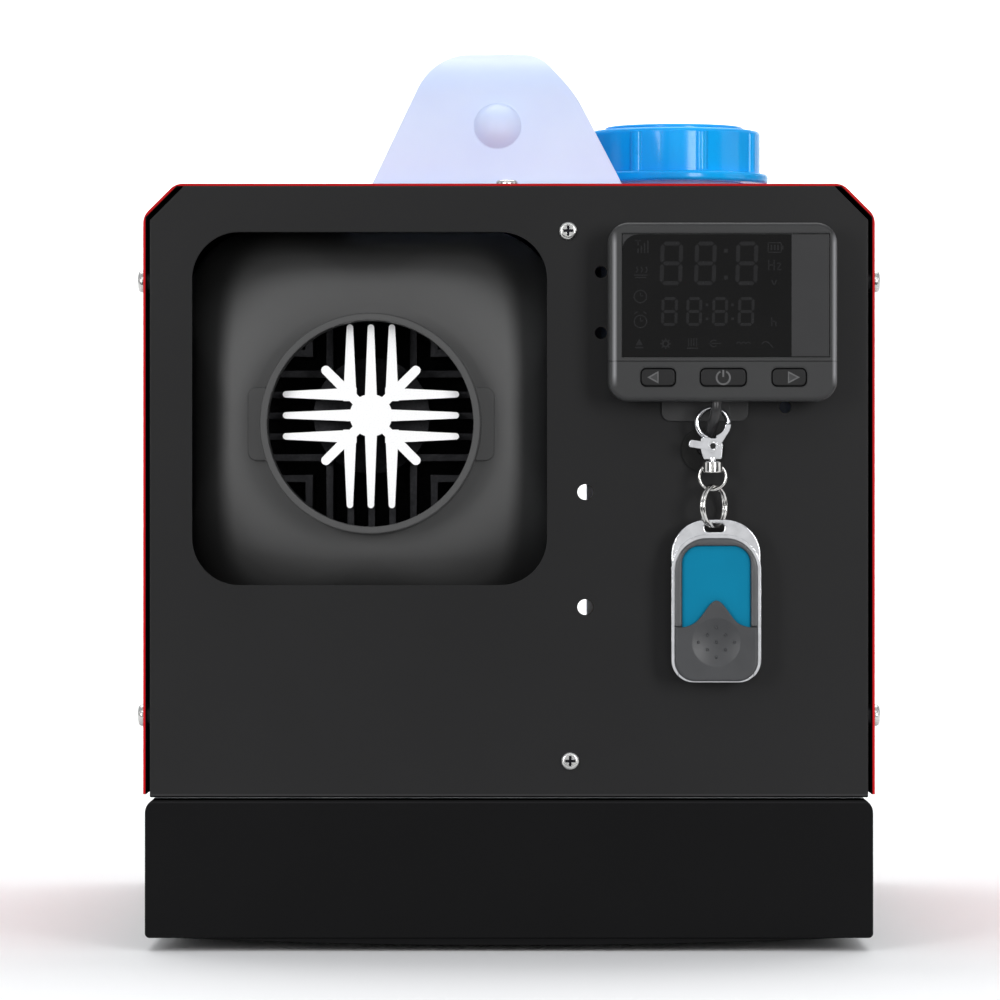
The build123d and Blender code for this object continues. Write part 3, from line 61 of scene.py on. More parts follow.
def surface(name, tones, rough, grain, relief, patch=40, edge=0.25, stretch=(1, 1, 1), sockets=None):
    """A finish with two drifting tones, uneven gloss, a fine grain and softened edges.

    grain, relief, patch and edge are millimetres: the size and the depth of the grain, the size of the
    drifting patches, and the radius that the edges seem to have.
    """
    material = bpy.data.materials.new(name)
    material.use_nodes = True
    tree = material.node_tree
    tree.nodes.clear()
    place = add(tree, "ShaderNodeTexCoord")
    drawn = add(tree, "ShaderNodeMapping", {"Vector": place.outputs["Object"], "Scale": stretch})
    broad = add(tree, "ShaderNodeTexNoise",
                {"Vector": drawn.outputs[0], "Scale": per_metre(patch), "Detail": 3})
    fine = add(tree, "ShaderNodeTexNoise",
               {"Vector": drawn.outputs[0], "Scale": per_metre(grain), "Detail": 2})
    even = add(tree, "ShaderNodeMapRange", {0: broad.outputs[0], 1: 0.3, 2: 0.7})
    tone = add(tree, "ShaderNodeMix", {0: even.outputs[0], 6: linear(tones[0]), 7: linear(tones[1])},
               data_type="RGBA", label="tone")
    gloss = add(tree, "ShaderNodeMapRange", {0: fine.outputs[0], 1: 0.25, 2: 0.75, 3: rough[0], 4: rough[1]},
                label="gloss")
    soft = add(tree, "ShaderNodeBevel", {"Radius": edge / 1000}, samples=4)
    bump = add(tree, "ShaderNodeBump", {"Height": fine.outputs[0], "Distance": relief / 1000,
                                        "Normal": soft.outputs[0]}, label="relief")
    shader = add(tree, "ShaderNodeBsdfPrincipled",
                 {"Base Color": tone.outputs[2], "Roughness": gloss.outputs[0], "Normal": bump.outputs[0],
                  **(sockets or {})})
    add(tree, "ShaderNodeOutputMaterial", {"Surface": shader.outputs[0]})
    return material


def labelled(material, label):
    return next(node for node in material.node_tree.nodes if node.label == label or node.bl_idname == label)


def band(tree, axis, low, high, blur):
    """1 between two coordinates in millimetres, 0 outside, with blurred ends."""
    place = add(tree, "ShaderNodeTexCoord")
    split = add(tree, "ShaderNodeSeparateXYZ", {0: place.outputs["Object"]})
    value = split.outputs[axis]
    rise = add(tree, "ShaderNodeMapRange", {0: value, 1: (low - blur) / 1000, 2: (low + blur) / 1000})
    fall = add(tree, "ShaderNodeMapRange",
               {0: value, 1: (high - blur) / 1000, 2: (high + blur) / 1000, 3: 1, 4: 0})
    both = add(tree, "ShaderNodeMath", {0: rise.outputs[0], 1: fall.outputs[0]}, operation="MULTIPLY")
    return both.outputs[0]


def below(tree, weights, limit, blur):
    """1 where a weighted sum of |X|, |Y| and Z stays below a limit in millimetres."""
    place = add(tree, "ShaderNodeTexCoord")
    sizes = add(tree, "ShaderNodeVectorMath", {0: place.outputs["Object"]}, operation="ABSOLUTE")
    total = add(tree, "ShaderNodeVectorMath", {0: sizes.outputs[0], 1: weights}, operation="DOT_PRODUCT")
    return add(tree, "ShaderNodeMapRange", {0: total.outputs["Value"], 1: (limit - blur) / 1000,
                                            2: (limit + blur) / 1000, 3: 1, 4: 0}).outputs[0]


def near(tree, keep, centre, radius, blur):
    """1 within a radius of a line through a centre, all in millimetres; keep has 0 along the line."""
    place = add(tree, "ShaderNodeTexCoord")
    flat = add(tree, "ShaderNodeVectorMath", {0: place.outputs["Object"], 1: keep}, operation="MULTIPLY")
    middle = [value * kept / 1000 for value, kept in zip(centre, keep)]
    away = add(tree, "ShaderNodeVectorMath", {0: flat.outputs[0], 1: middle}, operation="DISTANCE")
    return add(tree, "ShaderNodeMapRange", {0: away.outputs["Value"], 1: (radius - blur) / 1000,
                                            2: (radius + blur) / 1000, 3: 1, 4: 0}).outputs[0]


def joined(tree, masks, operation):
    """Several masks as one, by MULTIPLY or MAXIMUM."""
    total = masks[0]
    for mask in masks[1:]:
        total = add(tree, "ShaderNodeMath", {0: total, 1: mask}, operation=operation).outputs[0]
    return total


def tint(material, mask, code):
    """The material's tone turns to another where the mask is 1."""
    tree = material.node_tree
    shader = labelled(material, "ShaderNodeBsdfPrincipled")
    before = shader.inputs["Base Color"].links[0].from_socket
    mixed = add(tree, "ShaderNodeMix", {0: mask, 6: before, 7: linear(code)}, data_type="RGBA")
    tree.links.new(mixed.outputs[2], shader.inputs["Base Color"])


def carve(material, mask, depth):
    """A groove as deep as depth millimetres where the mask is 1, or a ridge where depth is below 0."""
    tree = material.node_tree
    shader = labelled(material, "ShaderNodeBsdfPrincipled")
    before = shader.inputs["Normal"].links[0].from_socket
    cut = add(tree, "ShaderNodeBump", {"Height": mask, "Distance": abs(depth) / 1000, "Normal": before},
              invert=depth > 0)
    tree.links.new(cut.outputs[0], shader.inputs["Normal"])


# Powder coated steel: satin black with a faint orange peel of about a millimetre.
powder_black = surface("powder_coated_steel_black", ("#0b0b0c", "#0e0e0f"), (0.37, 0.43), 0.9, 0.008,
                       edge=0.35, sockets={"Specular IOR Level": 0.26})
# The base is coated in the same powder, duller, and its tone is painted a shade darker than the panel's as
# painted shade.
shaded_powder_base = surface("powder_coated_steel_base_painted_shade", ("#080809", "#0a0a0b"), (0.42, 0.50), 0.9, 0.008, edge=0.5,
                      sockets={"Specular IOR Level": 0.08})
# Powder coated steel, glossy red, with the same orange peel.
powder_red = surface("powder_coated_steel_red", ("#b6040b", "#bc060e"), (0.21, 0.26), 1.1, 0.010, edge=0.35,
                     sockets={"Coat Weight": 0.06, "Coat Roughness": 0.12, "Specular IOR Level": 0.18})
# The controller's bracket is a glossier black than the panel behind it, and its tone is painted lighter:
# painted light, a lit copy of the panel's black.
lit_bracket_black = surface("gloss_steel_black_painted_light", ("#1a1a1b", "#212122"), (0.30, 0.38), 0.8, 0.006,
                        patch=10, edge=0.4)
# Zinc plated sheet: cool grey with soft rolling lines.
zinc_sheet = surface("zinc_plated_sheet", ("#9a9c9f", "#b4b6b8"), (0.30, 0.45), 2.0, 0.006, patch=12,
                     stretch=(1, 0.15, 1), sockets={"Metallic": 1.0})
# Zinc plated screws: bright, faintly cloudy.
zinc_screw = surface("zinc_plated_screw_steel", ("#c4c4c2", "#d9d9d6"), (0.18, 0.32), 0.7, 0.01, patch=3,
                     edge=0.15, sockets={"Metallic": 1.0})
# Moulded rubber: matt black with a dusty bloom.
rubber = surface("moulded_rubber", ("#0d0d0d", "#131312"), (0.70, 0.85), 0.5, 0.02, patch=8,
                 sockets={"Specular IOR Level": 0.3})
# Blow moulded polyethylene: milky lavender white that light sinks into, with soft waves from the mould.
hdpe = surface("blow_moulded_hdpe", ("#cbd9fa", "#d1dffd"), (0.38, 0.50), 0.8, 0.012, patch=30, edge=0.8,
               sockets={"Subsurface Weight": 0.2, "Subsurface Radius": (0.003, 0.003, 0.004),
                        "Subsurface Scale": 1.0, "IOR": 1.52})
# Injection moulded polypropylene: saturated blue with a clean gloss.
blue_pp = surface("injection_moulded_pp_blue", ("#00a2f4", "#00aefb"), (0.16, 0.26), 0.7, 0.006, patch=25,
                  edge=0.5, sockets={"Coat Weight": 0.15, "Coat Roughness": 0.05, "Specular IOR Level": 0.25})
# Turned brass: warm yellow with fine turning lines.
brass = surface("turned_brass", ("#b08d4c", "#c9a560"), (0.22, 0.34), 0.4, 0.006, patch=4,
                sockets={"Metallic": 1.0})
# Extruded rubber hose: black, lengthwise sheen.
hose = surface("extruded_rubber_hose", ("#141414", "#1c1c1c"), (0.48, 0.62), 0.6, 0.01, patch=10)
# Extruded PVC cable jacket: dark grey, smooth, with a soft shine.
cable = surface("extruded_pvc_jacket", ("#1c1c1d", "#262627"), (0.28, 0.38), 0.5, 0.004, patch=6)
# Injection moulded nylon, clear natural: milky and glossy.
filter_nylon = surface("natural_nylon_moulding", ("#dcd8c8", "#e8e4d6"), (0.25, 0.35), 0.6, 0.005, patch=10,
                       sockets={"Subsurface Weight": 0.3, "Subsurface Radius": (0.003, 0.003, 0.002)})
# Turned and ground steel of the pump.
pump_steel = surface("turned_steel", ("#a2a4a6", "#bcbec0"), (0.24, 0.36), 0.5, 0.005, patch=6,
                     sockets={"Metallic": 1.0})
# Glass filled nylon: charcoal moulding with a fine spark finish and a broad soft sheen.
nylon = surface("glass_filled_nylon_moulding", ("#191919", "#202020"), (0.42, 0.52), 0.45, 0.012, patch=25,
                edge=0.6)
# The outlet hood is the same nylon from a polished mould, so its flanks catch broad soft highlights.
hood_nylon = surface("polished_nylon_moulding", ("#1b1b1b", "#212121"), (0.50, 0.56), 0.45, 0.008, patch=25,
                     edge=0.6, sockets={"Specular IOR Level": 0.9})
# The fan is moulded in the same nylon, smoother.
fan_nylon = surface("nylon_fan_moulding", ("#1c1c1d", "#262627"), (0.34, 0.42), 0.6, 0.006, patch=15,
                    edge=0.4)
# Sand cast aluminium with a coarse skin, painted dark grey: painted shade for the fins, which sit back in
# shadow.
cast = surface("cast_aluminium", ("#2e2e30", "#3c3c3e"), (0.55, 0.75), 0.9, 0.06, patch=8, edge=0.4,
               sockets={"Metallic": 1.0})
# Die cast aluminium of the housings: lighter, smoother skin.
die_cast = surface("die_cast_aluminium", ("#8f9092", "#a5a6a8"), (0.42, 0.58), 0.8, 0.03, patch=8, edge=0.4,
                   sockets={"Metallic": 1.0})
# Drawn stainless tube, straw and blue from heat.
exhaust_steel = surface("heat_tinted_stainless", ("#8c8478", "#a39c92"), (0.22, 0.38), 0.6, 0.01, patch=14,
                        sockets={"Metallic": 1.0})
# Rolled steel can of the motor.
motor_steel = surface("rolled_steel_can", ("#7e8083", "#94969a"), (0.30, 0.42), 0.7, 0.006, patch=8,
                      sockets={"Metallic": 1.0})
# Pressed fibre gasket: graphite grey and matt.
gasket = surface("pressed_graphite_gasket", ("#2b2b2c", "#383838"), (0.75, 0.9), 0.5, 0.04, patch=4)
# Spark eroded ABS: mid grey, matt, fine texture.
abs_grey = surface("spark_eroded_abs", ("#252526", "#292a2a"), (0.46, 0.56), 0.35, 0.012, patch=20, edge=1.1,
                   sockets={"Specular IOR Level": 0.4})
# The same ABS behind the clear front, with a smoother face.
abs_face = surface("polished_abs", ("#262627", "#2a2a2b"), (0.30, 0.36), 0.6, 0.003, patch=25, edge=0.3,
                   sockets={"Specular IOR Level": 0.35})
# Smoked acrylic over a dark display: nearly black and glossy.
display_dark = surface("smoked_acrylic_display", ("#0d0d0d", "#101010"), (0.14, 0.18), 0.8, 0.001, patch=20,
                       edge=0.05, sockets={"Specular IOR Level": 0.12})
# Unlit display segments: a shade lighter than the display.
segment_grey = surface("unlit_display_segment", ("#171718", "#1b1b1c"), (0.22, 0.28), 0.8, 0.001, patch=4,
                       edge=0.02, sockets={"Specular IOR Level": 0.2})
# Silicone rubber keys: soft matt black.
key_rubber = surface("silicone_rubber_key", ("#09090a", "#0d0d0e"), (0.42, 0.52), 0.4, 0.008, patch=5,
                     edge=0.4, sockets={"Specular IOR Level": 0.3})
# Key signs in dull grey, a little lighter than the keys: printed ink for the power sign, and painted
# highlights for the arrow outlines, the lit edges of recessed arrows.
key_ink_and_edge_highlight = surface("printed_ink_and_painted_highlight_grey", ("#4c4c4d", "#5a5a5b"), (0.35, 0.45), 0.4, 0.002, patch=2,
                  edge=0.03)
# The middle of each arrow is a shade lighter than the key's rubber.
key_fill = surface("moulded_key_sign", ("#262627", "#2d2d2e"), (0.4, 0.5), 0.4, 0.004, patch=3, edge=0.03)
# Glass fibre circuit board: green with a woven shimmer.
board_green = surface("glass_fibre_board", ("#0d4a2a", "#126034"), (0.3, 0.4), 0.5, 0.01, patch=3)
# Chrome plated zinc: mirror bright with faint handling marks.
chrome = surface("chrome_plated_zinc", ("#d2d3d6", "#e4e5e8"), (0.05, 0.12), 1.4, 0.006, patch=4, edge=0.25,
                 sockets={"Metallic": 1.0})
# Nickel plated steel wire: bright, a little warmer and less even.
nickel = surface("nickel_plated_wire", ("#c6c5c2", "#dcdbd8"), (0.08, 0.18), 0.8, 0.006, patch=2, edge=0.15,
                 sockets={"Metallic": 1.0})
# Satin ABS of the remote: warm dark grey, soft highlights along its rounded edges.
remote_abs = surface("satin_abs_remote", ("#393a3c", "#424345"), (0.30, 0.38), 0.5, 0.004, patch=12, edge=0.9,
                     sockets={"Specular IOR Level": 0.7})
# The sliding cover has a duller, finely grained skin.
slider_abs = surface("satin_abs_slider", ("#303133", "#38393b"), (0.36, 0.44), 0.4, 0.008, patch=10, edge=0.7)
# Printed polycarbonate label: even teal blue with a soft gloss.
label_blue = surface("printed_polycarbonate_teal", ("#007496", "#00789b"), (0.46, 0.52), 0.5, 0.002, patch=15,
                     edge=0.2, sockets={"Specular IOR Level": 0.08})

finishes = {
    powder_black: ["front_panel", "rear_panel"],
    lit_bracket_black: ["controller_bracket"],
    shaded_powder_base: ["base_tray", "bottom_plate"],
    powder_red: ["top_cover"],
    zinc_sheet: ["floor_plate", "heater_bench", "heat_shield"],
    zinc_screw: ["cover_screws", "case_screws", "mounting_nuts"],
    rubber: ["foot_pads", "pump_mount", "cable_grommet", "cap_seal"],
    hdpe: ["fuel_tank"],
    blue_pp: ["fuel_cap"],
    brass: ["tank_fitting", "glow_plug"],
    hose: ["fuel_hoses", "heater_fuel_line", "intake_hose"],
    cable: ["controller_cable"],
    filter_nylon: ["fuel_filter"],
    pump_steel: ["pump_body", "pump_plunger", "rotor_shaft"],
    nylon: ["lower_casing", "upper_casing", "inlet_grille", "control_unit", "power_inlet"],
    hood_nylon: ["outlet_nozzle"],
    fan_nylon: ["blower_wheel"],
    cast: ["heat_exchanger"],
    die_cast: ["combustion_housing", "combustion_impeller"],
    exhaust_steel: ["exhaust_pipe", "burner_tube"],
    motor_steel: ["motor_body"],
    gasket: ["base_gasket"],
    abs_grey: ["controller_back", "controller_bezel"],
    abs_face: ["controller_screen"],
    key_rubber: ["button_left", "button_power", "button_right", "remote_button_left", "remote_button_right"],
    board_green: ["controller_board", "remote_board"],
    chrome: ["remote_frame", "clasp_hook", "clasp_gate"],
    nickel: ["swivel_ring", "split_ring"],
    remote_abs: ["remote_shell"],
    slider_abs: ["remote_slider"],
    label_blue: ["remote_label"],
}
for finish, names in finishes.items():
    for name in names:
        nodes[name].data.materials.clear()
        nodes[name].data.materials.append(finish)


def face_off_nose():
    """The exchanger's nose was faced off after casting: its front is bright, with a fine even grain."""
    tree = cast.node_tree
    front = band(tree, "Y", nose_front, nose_front + 1.4, 0.1)
    geometry = add(tree, "ShaderNodeNewGeometry")
    facing = add(tree, "ShaderNodeSeparateXYZ", {0: geometry.outputs["True Normal"]})
    flat = add(tree, "ShaderNodeMath", {0: facing.outputs["Y"], 1: -0.9}, operation="LESS_THAN")
    mask = add(tree, "ShaderNodeMath", {0: front, 1: flat.outputs[0]}, operation="MULTIPLY")
    cast_shader = labelled(cast, "ShaderNodeBsdfPrincipled")
    place = add(tree, "ShaderNodeTexCoord")
    grain = add(tree, "ShaderNodeTexNoise", {"Vector": place.outputs["Object"], "Scale": per_metre(0.5),
                                             "Detail": 3})
    tone = add(tree, "ShaderNodeMix", {0: grain.outputs[0], 6: linear("#dcdcdc"), 7: linear("#f4f4f4")},
               data_type="RGBA")
    bump = add(tree, "ShaderNodeBump", {"Height": grain.outputs[0], "Distance": 0.000004})
    bright = add(tree, "ShaderNodeBsdfPrincipled",
                 {"Base Color": tone.outputs[2], "Metallic": 1.0, "Roughness": 0.5,
                  "Normal": bump.outputs[0]})
    both = add(tree, "ShaderNodeMixShader",
               {0: mask.outputs[0], 1: cast_shader.outputs[0], 2: bright.outputs[0]})
    output = labelled(cast, "ShaderNodeOutputMaterial")
    tree.links.new(both.outputs[0], output.inputs["Surface"])


nose_front = -173.0
face_off_nose()


def paint_inside_shade():
    """Painted shade: the cover's inside is a dead matt black with no shine, for the shade inside the case."""
    tree = powder_red.node_tree
    sides = below(tree, (1, 0, 0), cover_inner_reach, 0.05)
    roof = below(tree, (0, 0, 1), cover_inner_height, 0.05)
    slopes = below(tree, (1, 0, 1), cover_inner_slope, 0.05)
    inside = joined(tree, [sides, roof, slopes], "MULTIPLY")
    outer = labelled(powder_red, "ShaderNodeBsdfPrincipled")
    inside_shade = add(tree, "ShaderNodeBsdfPrincipled",
                 {"Base Color": linear("#0b0b0c"), "Roughness": 1.0, "Specular IOR Level": 0.0})
    both = add(tree, "ShaderNodeMixShader", {0: inside, 1: outer.outputs[0], 2: inside_shade.outputs[0]})
    tree.links.new(both.outputs[0], labelled(powder_red, "ShaderNodeOutputMaterial").inputs["Surface"])


cover_inner_reach = 123.7
cover_inner_height = 260.35
cover_inner_slope = 373.4
paint_inside_shade()


def both_ends(tree, axis, low, high):
    """1 between two distances from the middle, on either side of it."""
    return joined(tree, [band(tree, axis, -high, -low, 0.05), band(tree, axis, low, high, 0.05)], "MAXIMUM")


def paint_recess_shade():
    """Painted shade: the screws' cross recesses are tinted dark, where shade falls in them."""
    tree = zinc_screw.node_tree
    shade_spots = []
    for x, z in panel_screws:
        depth = both_ends(tree, "Y", 188.0, 189.45)
        around = near(tree, (1, 0, 1), (x, 0, z), panel_recess_radius, 0.05)
        shade_spots.append(joined(tree, [depth, around], "MULTIPLY"))
    for y in cover_screw_reach:
        for z in cover_screw_heights:
            depth = both_ends(tree, "X", 124.45, 126.3)
            around = near(tree, (0, 1, 1), (0, y, z), cover_recess_radius, 0.05)
            shade_spots.append(joined(tree, [depth, around], "MULTIPLY"))
        depth = band(tree, "Z", 261.0, 262.45, 0.05)
        around = near(tree, (1, 1, 0), (roof_screw_x, y, 0), cover_recess_radius, 0.05)
        shade_spots.append(joined(tree, [depth, around], "MULTIPLY"))
    tint(zinc_screw, joined(tree, shade_spots, "MAXIMUM"), "#26262a")


panel_screws = ((20.1, 245.0), (20.8, 64.8))
cover_screw_reach = (-181.0, 181.0)
cover_screw_heights = (80.1, 228.0)
roof_screw_x = -0.7
panel_recess_radius = 1.95
cover_recess_radius = 2.2
paint_recess_shade()

# The bezel's two moulded halves meet in a fine joint below the display.
joint_line = band(abs_grey.node_tree, "Z", 200.05, 200.35, 0.05)
tint(abs_grey, joint_line, "#0c0c0c")
carve(abs_grey, joint_line, 0.25)


def paint_side_edge_highlights():
    """Painted highlights: a light line is tinted along each of the bezel's long side edges, where they catch
    light.
    """
    tree = abs_grey.node_tree
    edges = []
    for low in (35.0, 109.1):
        across = band(tree, "X", low, low + 1.0, 0.45)
        along = band(tree, "Z", 193.5, 242.0, 2.0)
        front = band(tree, "Y", -209.0, -204.5, 0.3)
        edges.append(joined(tree, [across, along, front], "MULTIPLY"))
    tint(abs_grey, joined(tree, edges, "MAXIMUM"), "#848486")


paint_side_edge_highlights()


def dull(material, mask):
    """The finish loses its shine where the mask is 1."""
    tree = material.node_tree
    shine = labelled(material, "ShaderNodeBsdfPrincipled").inputs["Specular IOR Level"]
    fade = add(tree, "ShaderNodeMapRange", {0: mask, 3: shine.default_value, 4: 0.0})
    tree.links.new(fade.outputs[0], shine)


# Painted shade and highlights at the folded edges: a dark, dull band on the panel's and the base's edges
# stands for the shade in the joint between them, and thin lighter lines above it on the panel and below it on
# the base are painted highlights.
for finish, low, high in ((powder_black, 52.2, 52.8), (shaded_powder_base, 51.4, 52.2)):
    shade = band(finish.node_tree, "Z", low, high, 0.1)
    tint(finish, shade, "#020202")
    dull(finish, shade)
tint(powder_black, band(powder_black.node_tree, "Z", 53.0, 53.5, 0.15), "#262627")
tint(shaded_powder_base, band(shaded_powder_base.node_tree, "Z", 50.5, 50.9, 0.2), "#1a1a1b")

# The tank's two mould halves leave a parting line across its middle.
parting = band(hdpe.node_tree, "Y", -25.6, -24.4, 0.4)
carve(hdpe, parting, -0.35)


# ---- Pieces drawn on the controller ----

def arc(x, z, inner, outer, start, end, steps=16):
    """Four-cornered faces along an arc, in millimetres and degrees from +X."""
    faces = []
    for step in range(steps):
        a, b = (radians(start + (end - start) * (step + part) / steps) for part in (0, 1))
        faces.append([(x + r * cos(t), z + r * sin(t)) for r, t in
                      ((inner, a), (outer, a), (outer, b), (inner, b))])
    return faces


def stroke(x0, z0, x1, z1, width):
    """A straight bar between two points."""
    dx, dz = x1 - x0, z1 - z0
    length = sqrt(dx * dx + dz * dz)
    px, pz = -dz / length * width / 2, dx / length * width / 2
    return [[(x0 + px, z0 + pz), (x1 + px, z1 + pz), (x1 - px, z1 - pz), (x0 - px, z0 - pz)]]


def stamp(name, faces, front, back, material, body):
    """Thin raised shapes between two depths, from faces drawn in X and Z in millimetres."""
    mesh = bmesh.new()
    for face in faces:
        corners = [mesh.verts.new((x / 1000, back / 1000, z / 1000)) for x, z in face]
        flat = mesh.faces.new(corners)
        flat.normal_update()
        if flat.normal.y > 0:
            flat.normal_flip()
        grown = bmesh.ops.extrude_face_region(mesh, geom=[flat])
        for item in grown["geom"]:
            if isinstance(item, bmesh.types.BMVert):
                item.co.y = front / 1000
    bmesh.ops.recalc_face_normals(mesh, faces=mesh.faces)
    data = bpy.data.meshes.new(name)
    mesh.to_mesh(data)
    mesh.free()
    piece = bpy.data.objects.new(name, data)
    bpy.context.scene.collection.objects.link(piece)
    data.materials.append(material)
    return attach(piece, body)


def seven_segments(left, right, top, bottom, thick, lean=0.03):
    """The seven bars of one display digit, leaning to the right."""
    middle = (top + bottom) / 2
    gap, half = thick * 0.18, thick / 2
    bars = []
    inner, outer = thick + gap, half + gap
    for z in (top - half, middle, bottom + half):
        bars.append([(left + outer, z), (left + inner, z + half), (right - inner, z + half),
                     (right - outer, z), (right - inner, z - half), (left + inner, z - half)])
    for x in (left + half, right - half):
        for low, high in ((bottom + half, middle), (middle, top - half)):
            low, high = low + gap, high - gap
            bars.append([(x, low), (x + half, low + half), (x + half, high - half), (x, high),
                         (x - half, high - half), (x - half, low + half)])
    return [[(x + (z - bottom) * lean, z) for x, z in bar] for bar in bars]


glass_front = -207.6
display_front = glass_front - 0.05
mark_front = display_front - 0.04

left, right, top, bottom, bend = 38.0, 95.1, 242.9, 201.8, 5.5
outline = [(right, top), (right, bottom), (left, bottom), (left, top - bend)]
for angle in range(15, 91, 15):
    outline.append((left + bend - bend * cos(radians(angle)), top - bend + bend * sin(radians(angle))))
stamp("display_window", [outline], display_front, glass_front + 0.02, display_dark, "root")

segments = []
for low, high in ((50.6, 58.2), (62.2, 69.5), (76.1, 83.5)):
    segments += seven_segments(low, high, 240.5, 225.8, 1.35)
for low, high in ((51.1, 56.6), (59.5, 64.8), (68.2, 73.5), (76.9, 82.4)):
    segments += seven_segments(low, high, 221.8, 212.1, 1.0)
for x, z, size in ((73.0, 237.4, 1.3), (73.0, 228.4, 1.3), (66.6, 219.2, 0.9), (66.6, 214.5, 0.9),
                   (75.2, 219.2, 0.9), (75.2, 214.5, 0.9)):
    segments += stroke(x, z - size / 2, x, z + size / 2, size)
stamp("display_digits", segments, mark_front, display_front, segment_grey, "root")


def display_signs():
    """Signal bars, heat waves, two clocks, battery, units and the row of small signs."""
    faces = []
    for step in range(4):
        faces += stroke(43.4 + step * 1.1, 236.6, 43.4 + step * 1.1, 238.2 + step * 0.9, 0.5)
    faces += stroke(42.4, 240.8, 44.4, 240.8, 0.35) + stroke(43.4, 240.8, 43.4, 239.2, 0.35)
    for step in range(3):
        x = 42.8 + step * 1.6
        faces += stroke(x, 230.0, x + 0.5, 231.0, 0.4) + stroke(x + 0.5, 231.0, x, 232.0, 0.4)
    faces += stroke(42.0, 229.2, 46.6, 229.2, 0.4) + stroke(42.4, 228.4, 46.2, 228.4, 0.4)
    for z in (222.0, 213.6):
        faces += arc(44.2, z, 1.9, 2.3, 0, 360)
        faces += stroke(44.2, z, 44.2, z + 1.3, 0.35) + stroke(44.2, z, 45.1, z + 0.3, 0.35)
    faces += stroke(42.2, 216.2, 43.2, 216.9, 0.4) + stroke(45.2, 216.9, 46.2, 216.2, 0.4)
    for z in (236.9, 240.1):
        faces += stroke(87.2, z, 91.6, z, 0.35)
    for x in (87.2, 91.6):
        faces += stroke(x, 236.9, x, 240.1, 0.35)
    for x in (88.3, 89.4, 90.5):
        faces += stroke(x, 237.6, x, 239.4, 0.6)
    faces += stroke(92.1, 237.8, 92.1, 239.2, 0.5)
    faces += stroke(87.4, 230.8, 87.4, 234.4, 0.4) + stroke(89.2, 230.8, 89.2, 234.4, 0.4)
    faces += stroke(87.4, 232.6, 89.2, 232.6, 0.4)
    faces += stroke(90.2, 233.2, 91.6, 233.2, 0.35) + stroke(91.6, 233.2, 90.2, 231.0, 0.35)
    faces += stroke(90.2, 231.0, 91.6, 231.0, 0.35)
    faces += stroke(88.4, 227.6, 89.2, 225.6, 0.4) + stroke(89.2, 225.6, 90.0, 227.6, 0.4)
    faces += stroke(88.4, 212.0, 88.4, 215.0, 0.4) + stroke(88.4, 213.6, 89.8, 213.6, 0.4)
    faces += stroke(89.8, 213.6, 89.8, 212.0, 0.4)
    faces += [[(42.6, 205.6), (45.0, 205.6), (43.8, 207.8)]] + stroke(42.4, 204.8, 45.2, 204.8, 0.5)
    faces += arc(52.7, 206.1, 0.7, 1.3, 0, 360)
    for step in range(8):
        angle = radians(45 * step)
        faces += stroke(52.7 + 1.3 * cos(angle), 206.1 + 1.3 * sin(angle),
                        52.7 + 1.8 * cos(angle), 206.1 + 1.8 * sin(angle), 0.5)
    for step in range(4):
        faces += stroke(60.4 + step * 0.9, 205.2, 60.4 + step * 0.9, 208.0, 0.35)
    faces += stroke(59.9, 204.6, 63.6, 204.6, 0.45)
    faces += arc(68.9, 206.2, 0.9, 1.3, 40, 320) + stroke(67.2, 206.2, 71.4, 206.2, 0.35)
    for step in range(3):
        faces += arc(77.3 + step * 1.6, 206.0, 0.5, 0.85, 0, 180, 8)
    faces += arc(86.4, 205.4, 1.2, 1.6, 20, 160, 10) + stroke(87.9, 205.9, 88.8, 204.8, 0.4)
    return faces


stamp("display_signs", display_signs(), mark_front, display_front, segment_grey, "root")

key_front = -207.5
for name, body, tip, base in (("sign_left", "key_left", 46.5, 50.3), ("sign_right", "key_right", 97.9, 93.9)):
    turn = 1 if base > tip else -1
    # The arrow rims are painted highlights, the lit edges of recessed arrows; the fills are a shade lighter
    # than the keys.
    rim = [(tip, 194.8), (base, 192.7), (base, 196.9)]
    inner = [(tip + 1.0 * turn, 194.8), (base - 0.35 * turn, 193.4), (base - 0.35 * turn, 196.2)]
    stamp(name, [rim], key_front - 0.04, key_front + 0.02, key_ink_and_edge_highlight, body)
    stamp(name + "_fill", [inner], key_front - 0.07, key_front - 0.02, key_fill, body)
power_sign = arc(72.1, 194.7, 1.95, 2.55, 115, 425, 28) + stroke(72.1, 194.9, 72.1, 197.3, 0.6)
stamp("sign_power", power_sign, key_front - 0.04, key_front + 0.02, key_ink_and_edge_highlight, "key_power")


# ---- Hollow rivet of the clasp ----

rivet_x, rivet_z, rivet_front = 68.8, 171.7, -202.9
stamp("clasp_rivet_rim", arc(rivet_x, rivet_z, 1.0, 1.6, 0, 360, 24), rivet_front - 0.2, rivet_front + 0.05,
      chrome, "clasp")
# Painted shade: a flat black disc inside the rivet's rim stands for the shade in its hollow.
hole_shade = [(rivet_x + cos(radians(15 * k)), rivet_z + sin(radians(15 * k))) for k in range(24)]
stamp("clasp_rivet_hollow", [hole_shade], rivet_front - 0.04, rivet_front + 0.05, key_rubber, "clasp")


# ---- Foam seal inside the cover's rear edge ----

left_slope = [(-113.0, 260.3), (-123.6, 249.7), (-120.9, 249.7), (-113.0, 257.6)]
right_slope = [(-x, z) for x, z in reversed(left_slope)]
roof_strip = [(-113.0, 260.3), (-113.0, 257.6), (113.0, 257.6), (113.0, 260.3)]
stamp("rear_foam_seal", [left_slope, right_slope, roof_strip], 184.5, 186.5, rubber, "root")


# ---- Grip dots in the remote's thumb rest ----

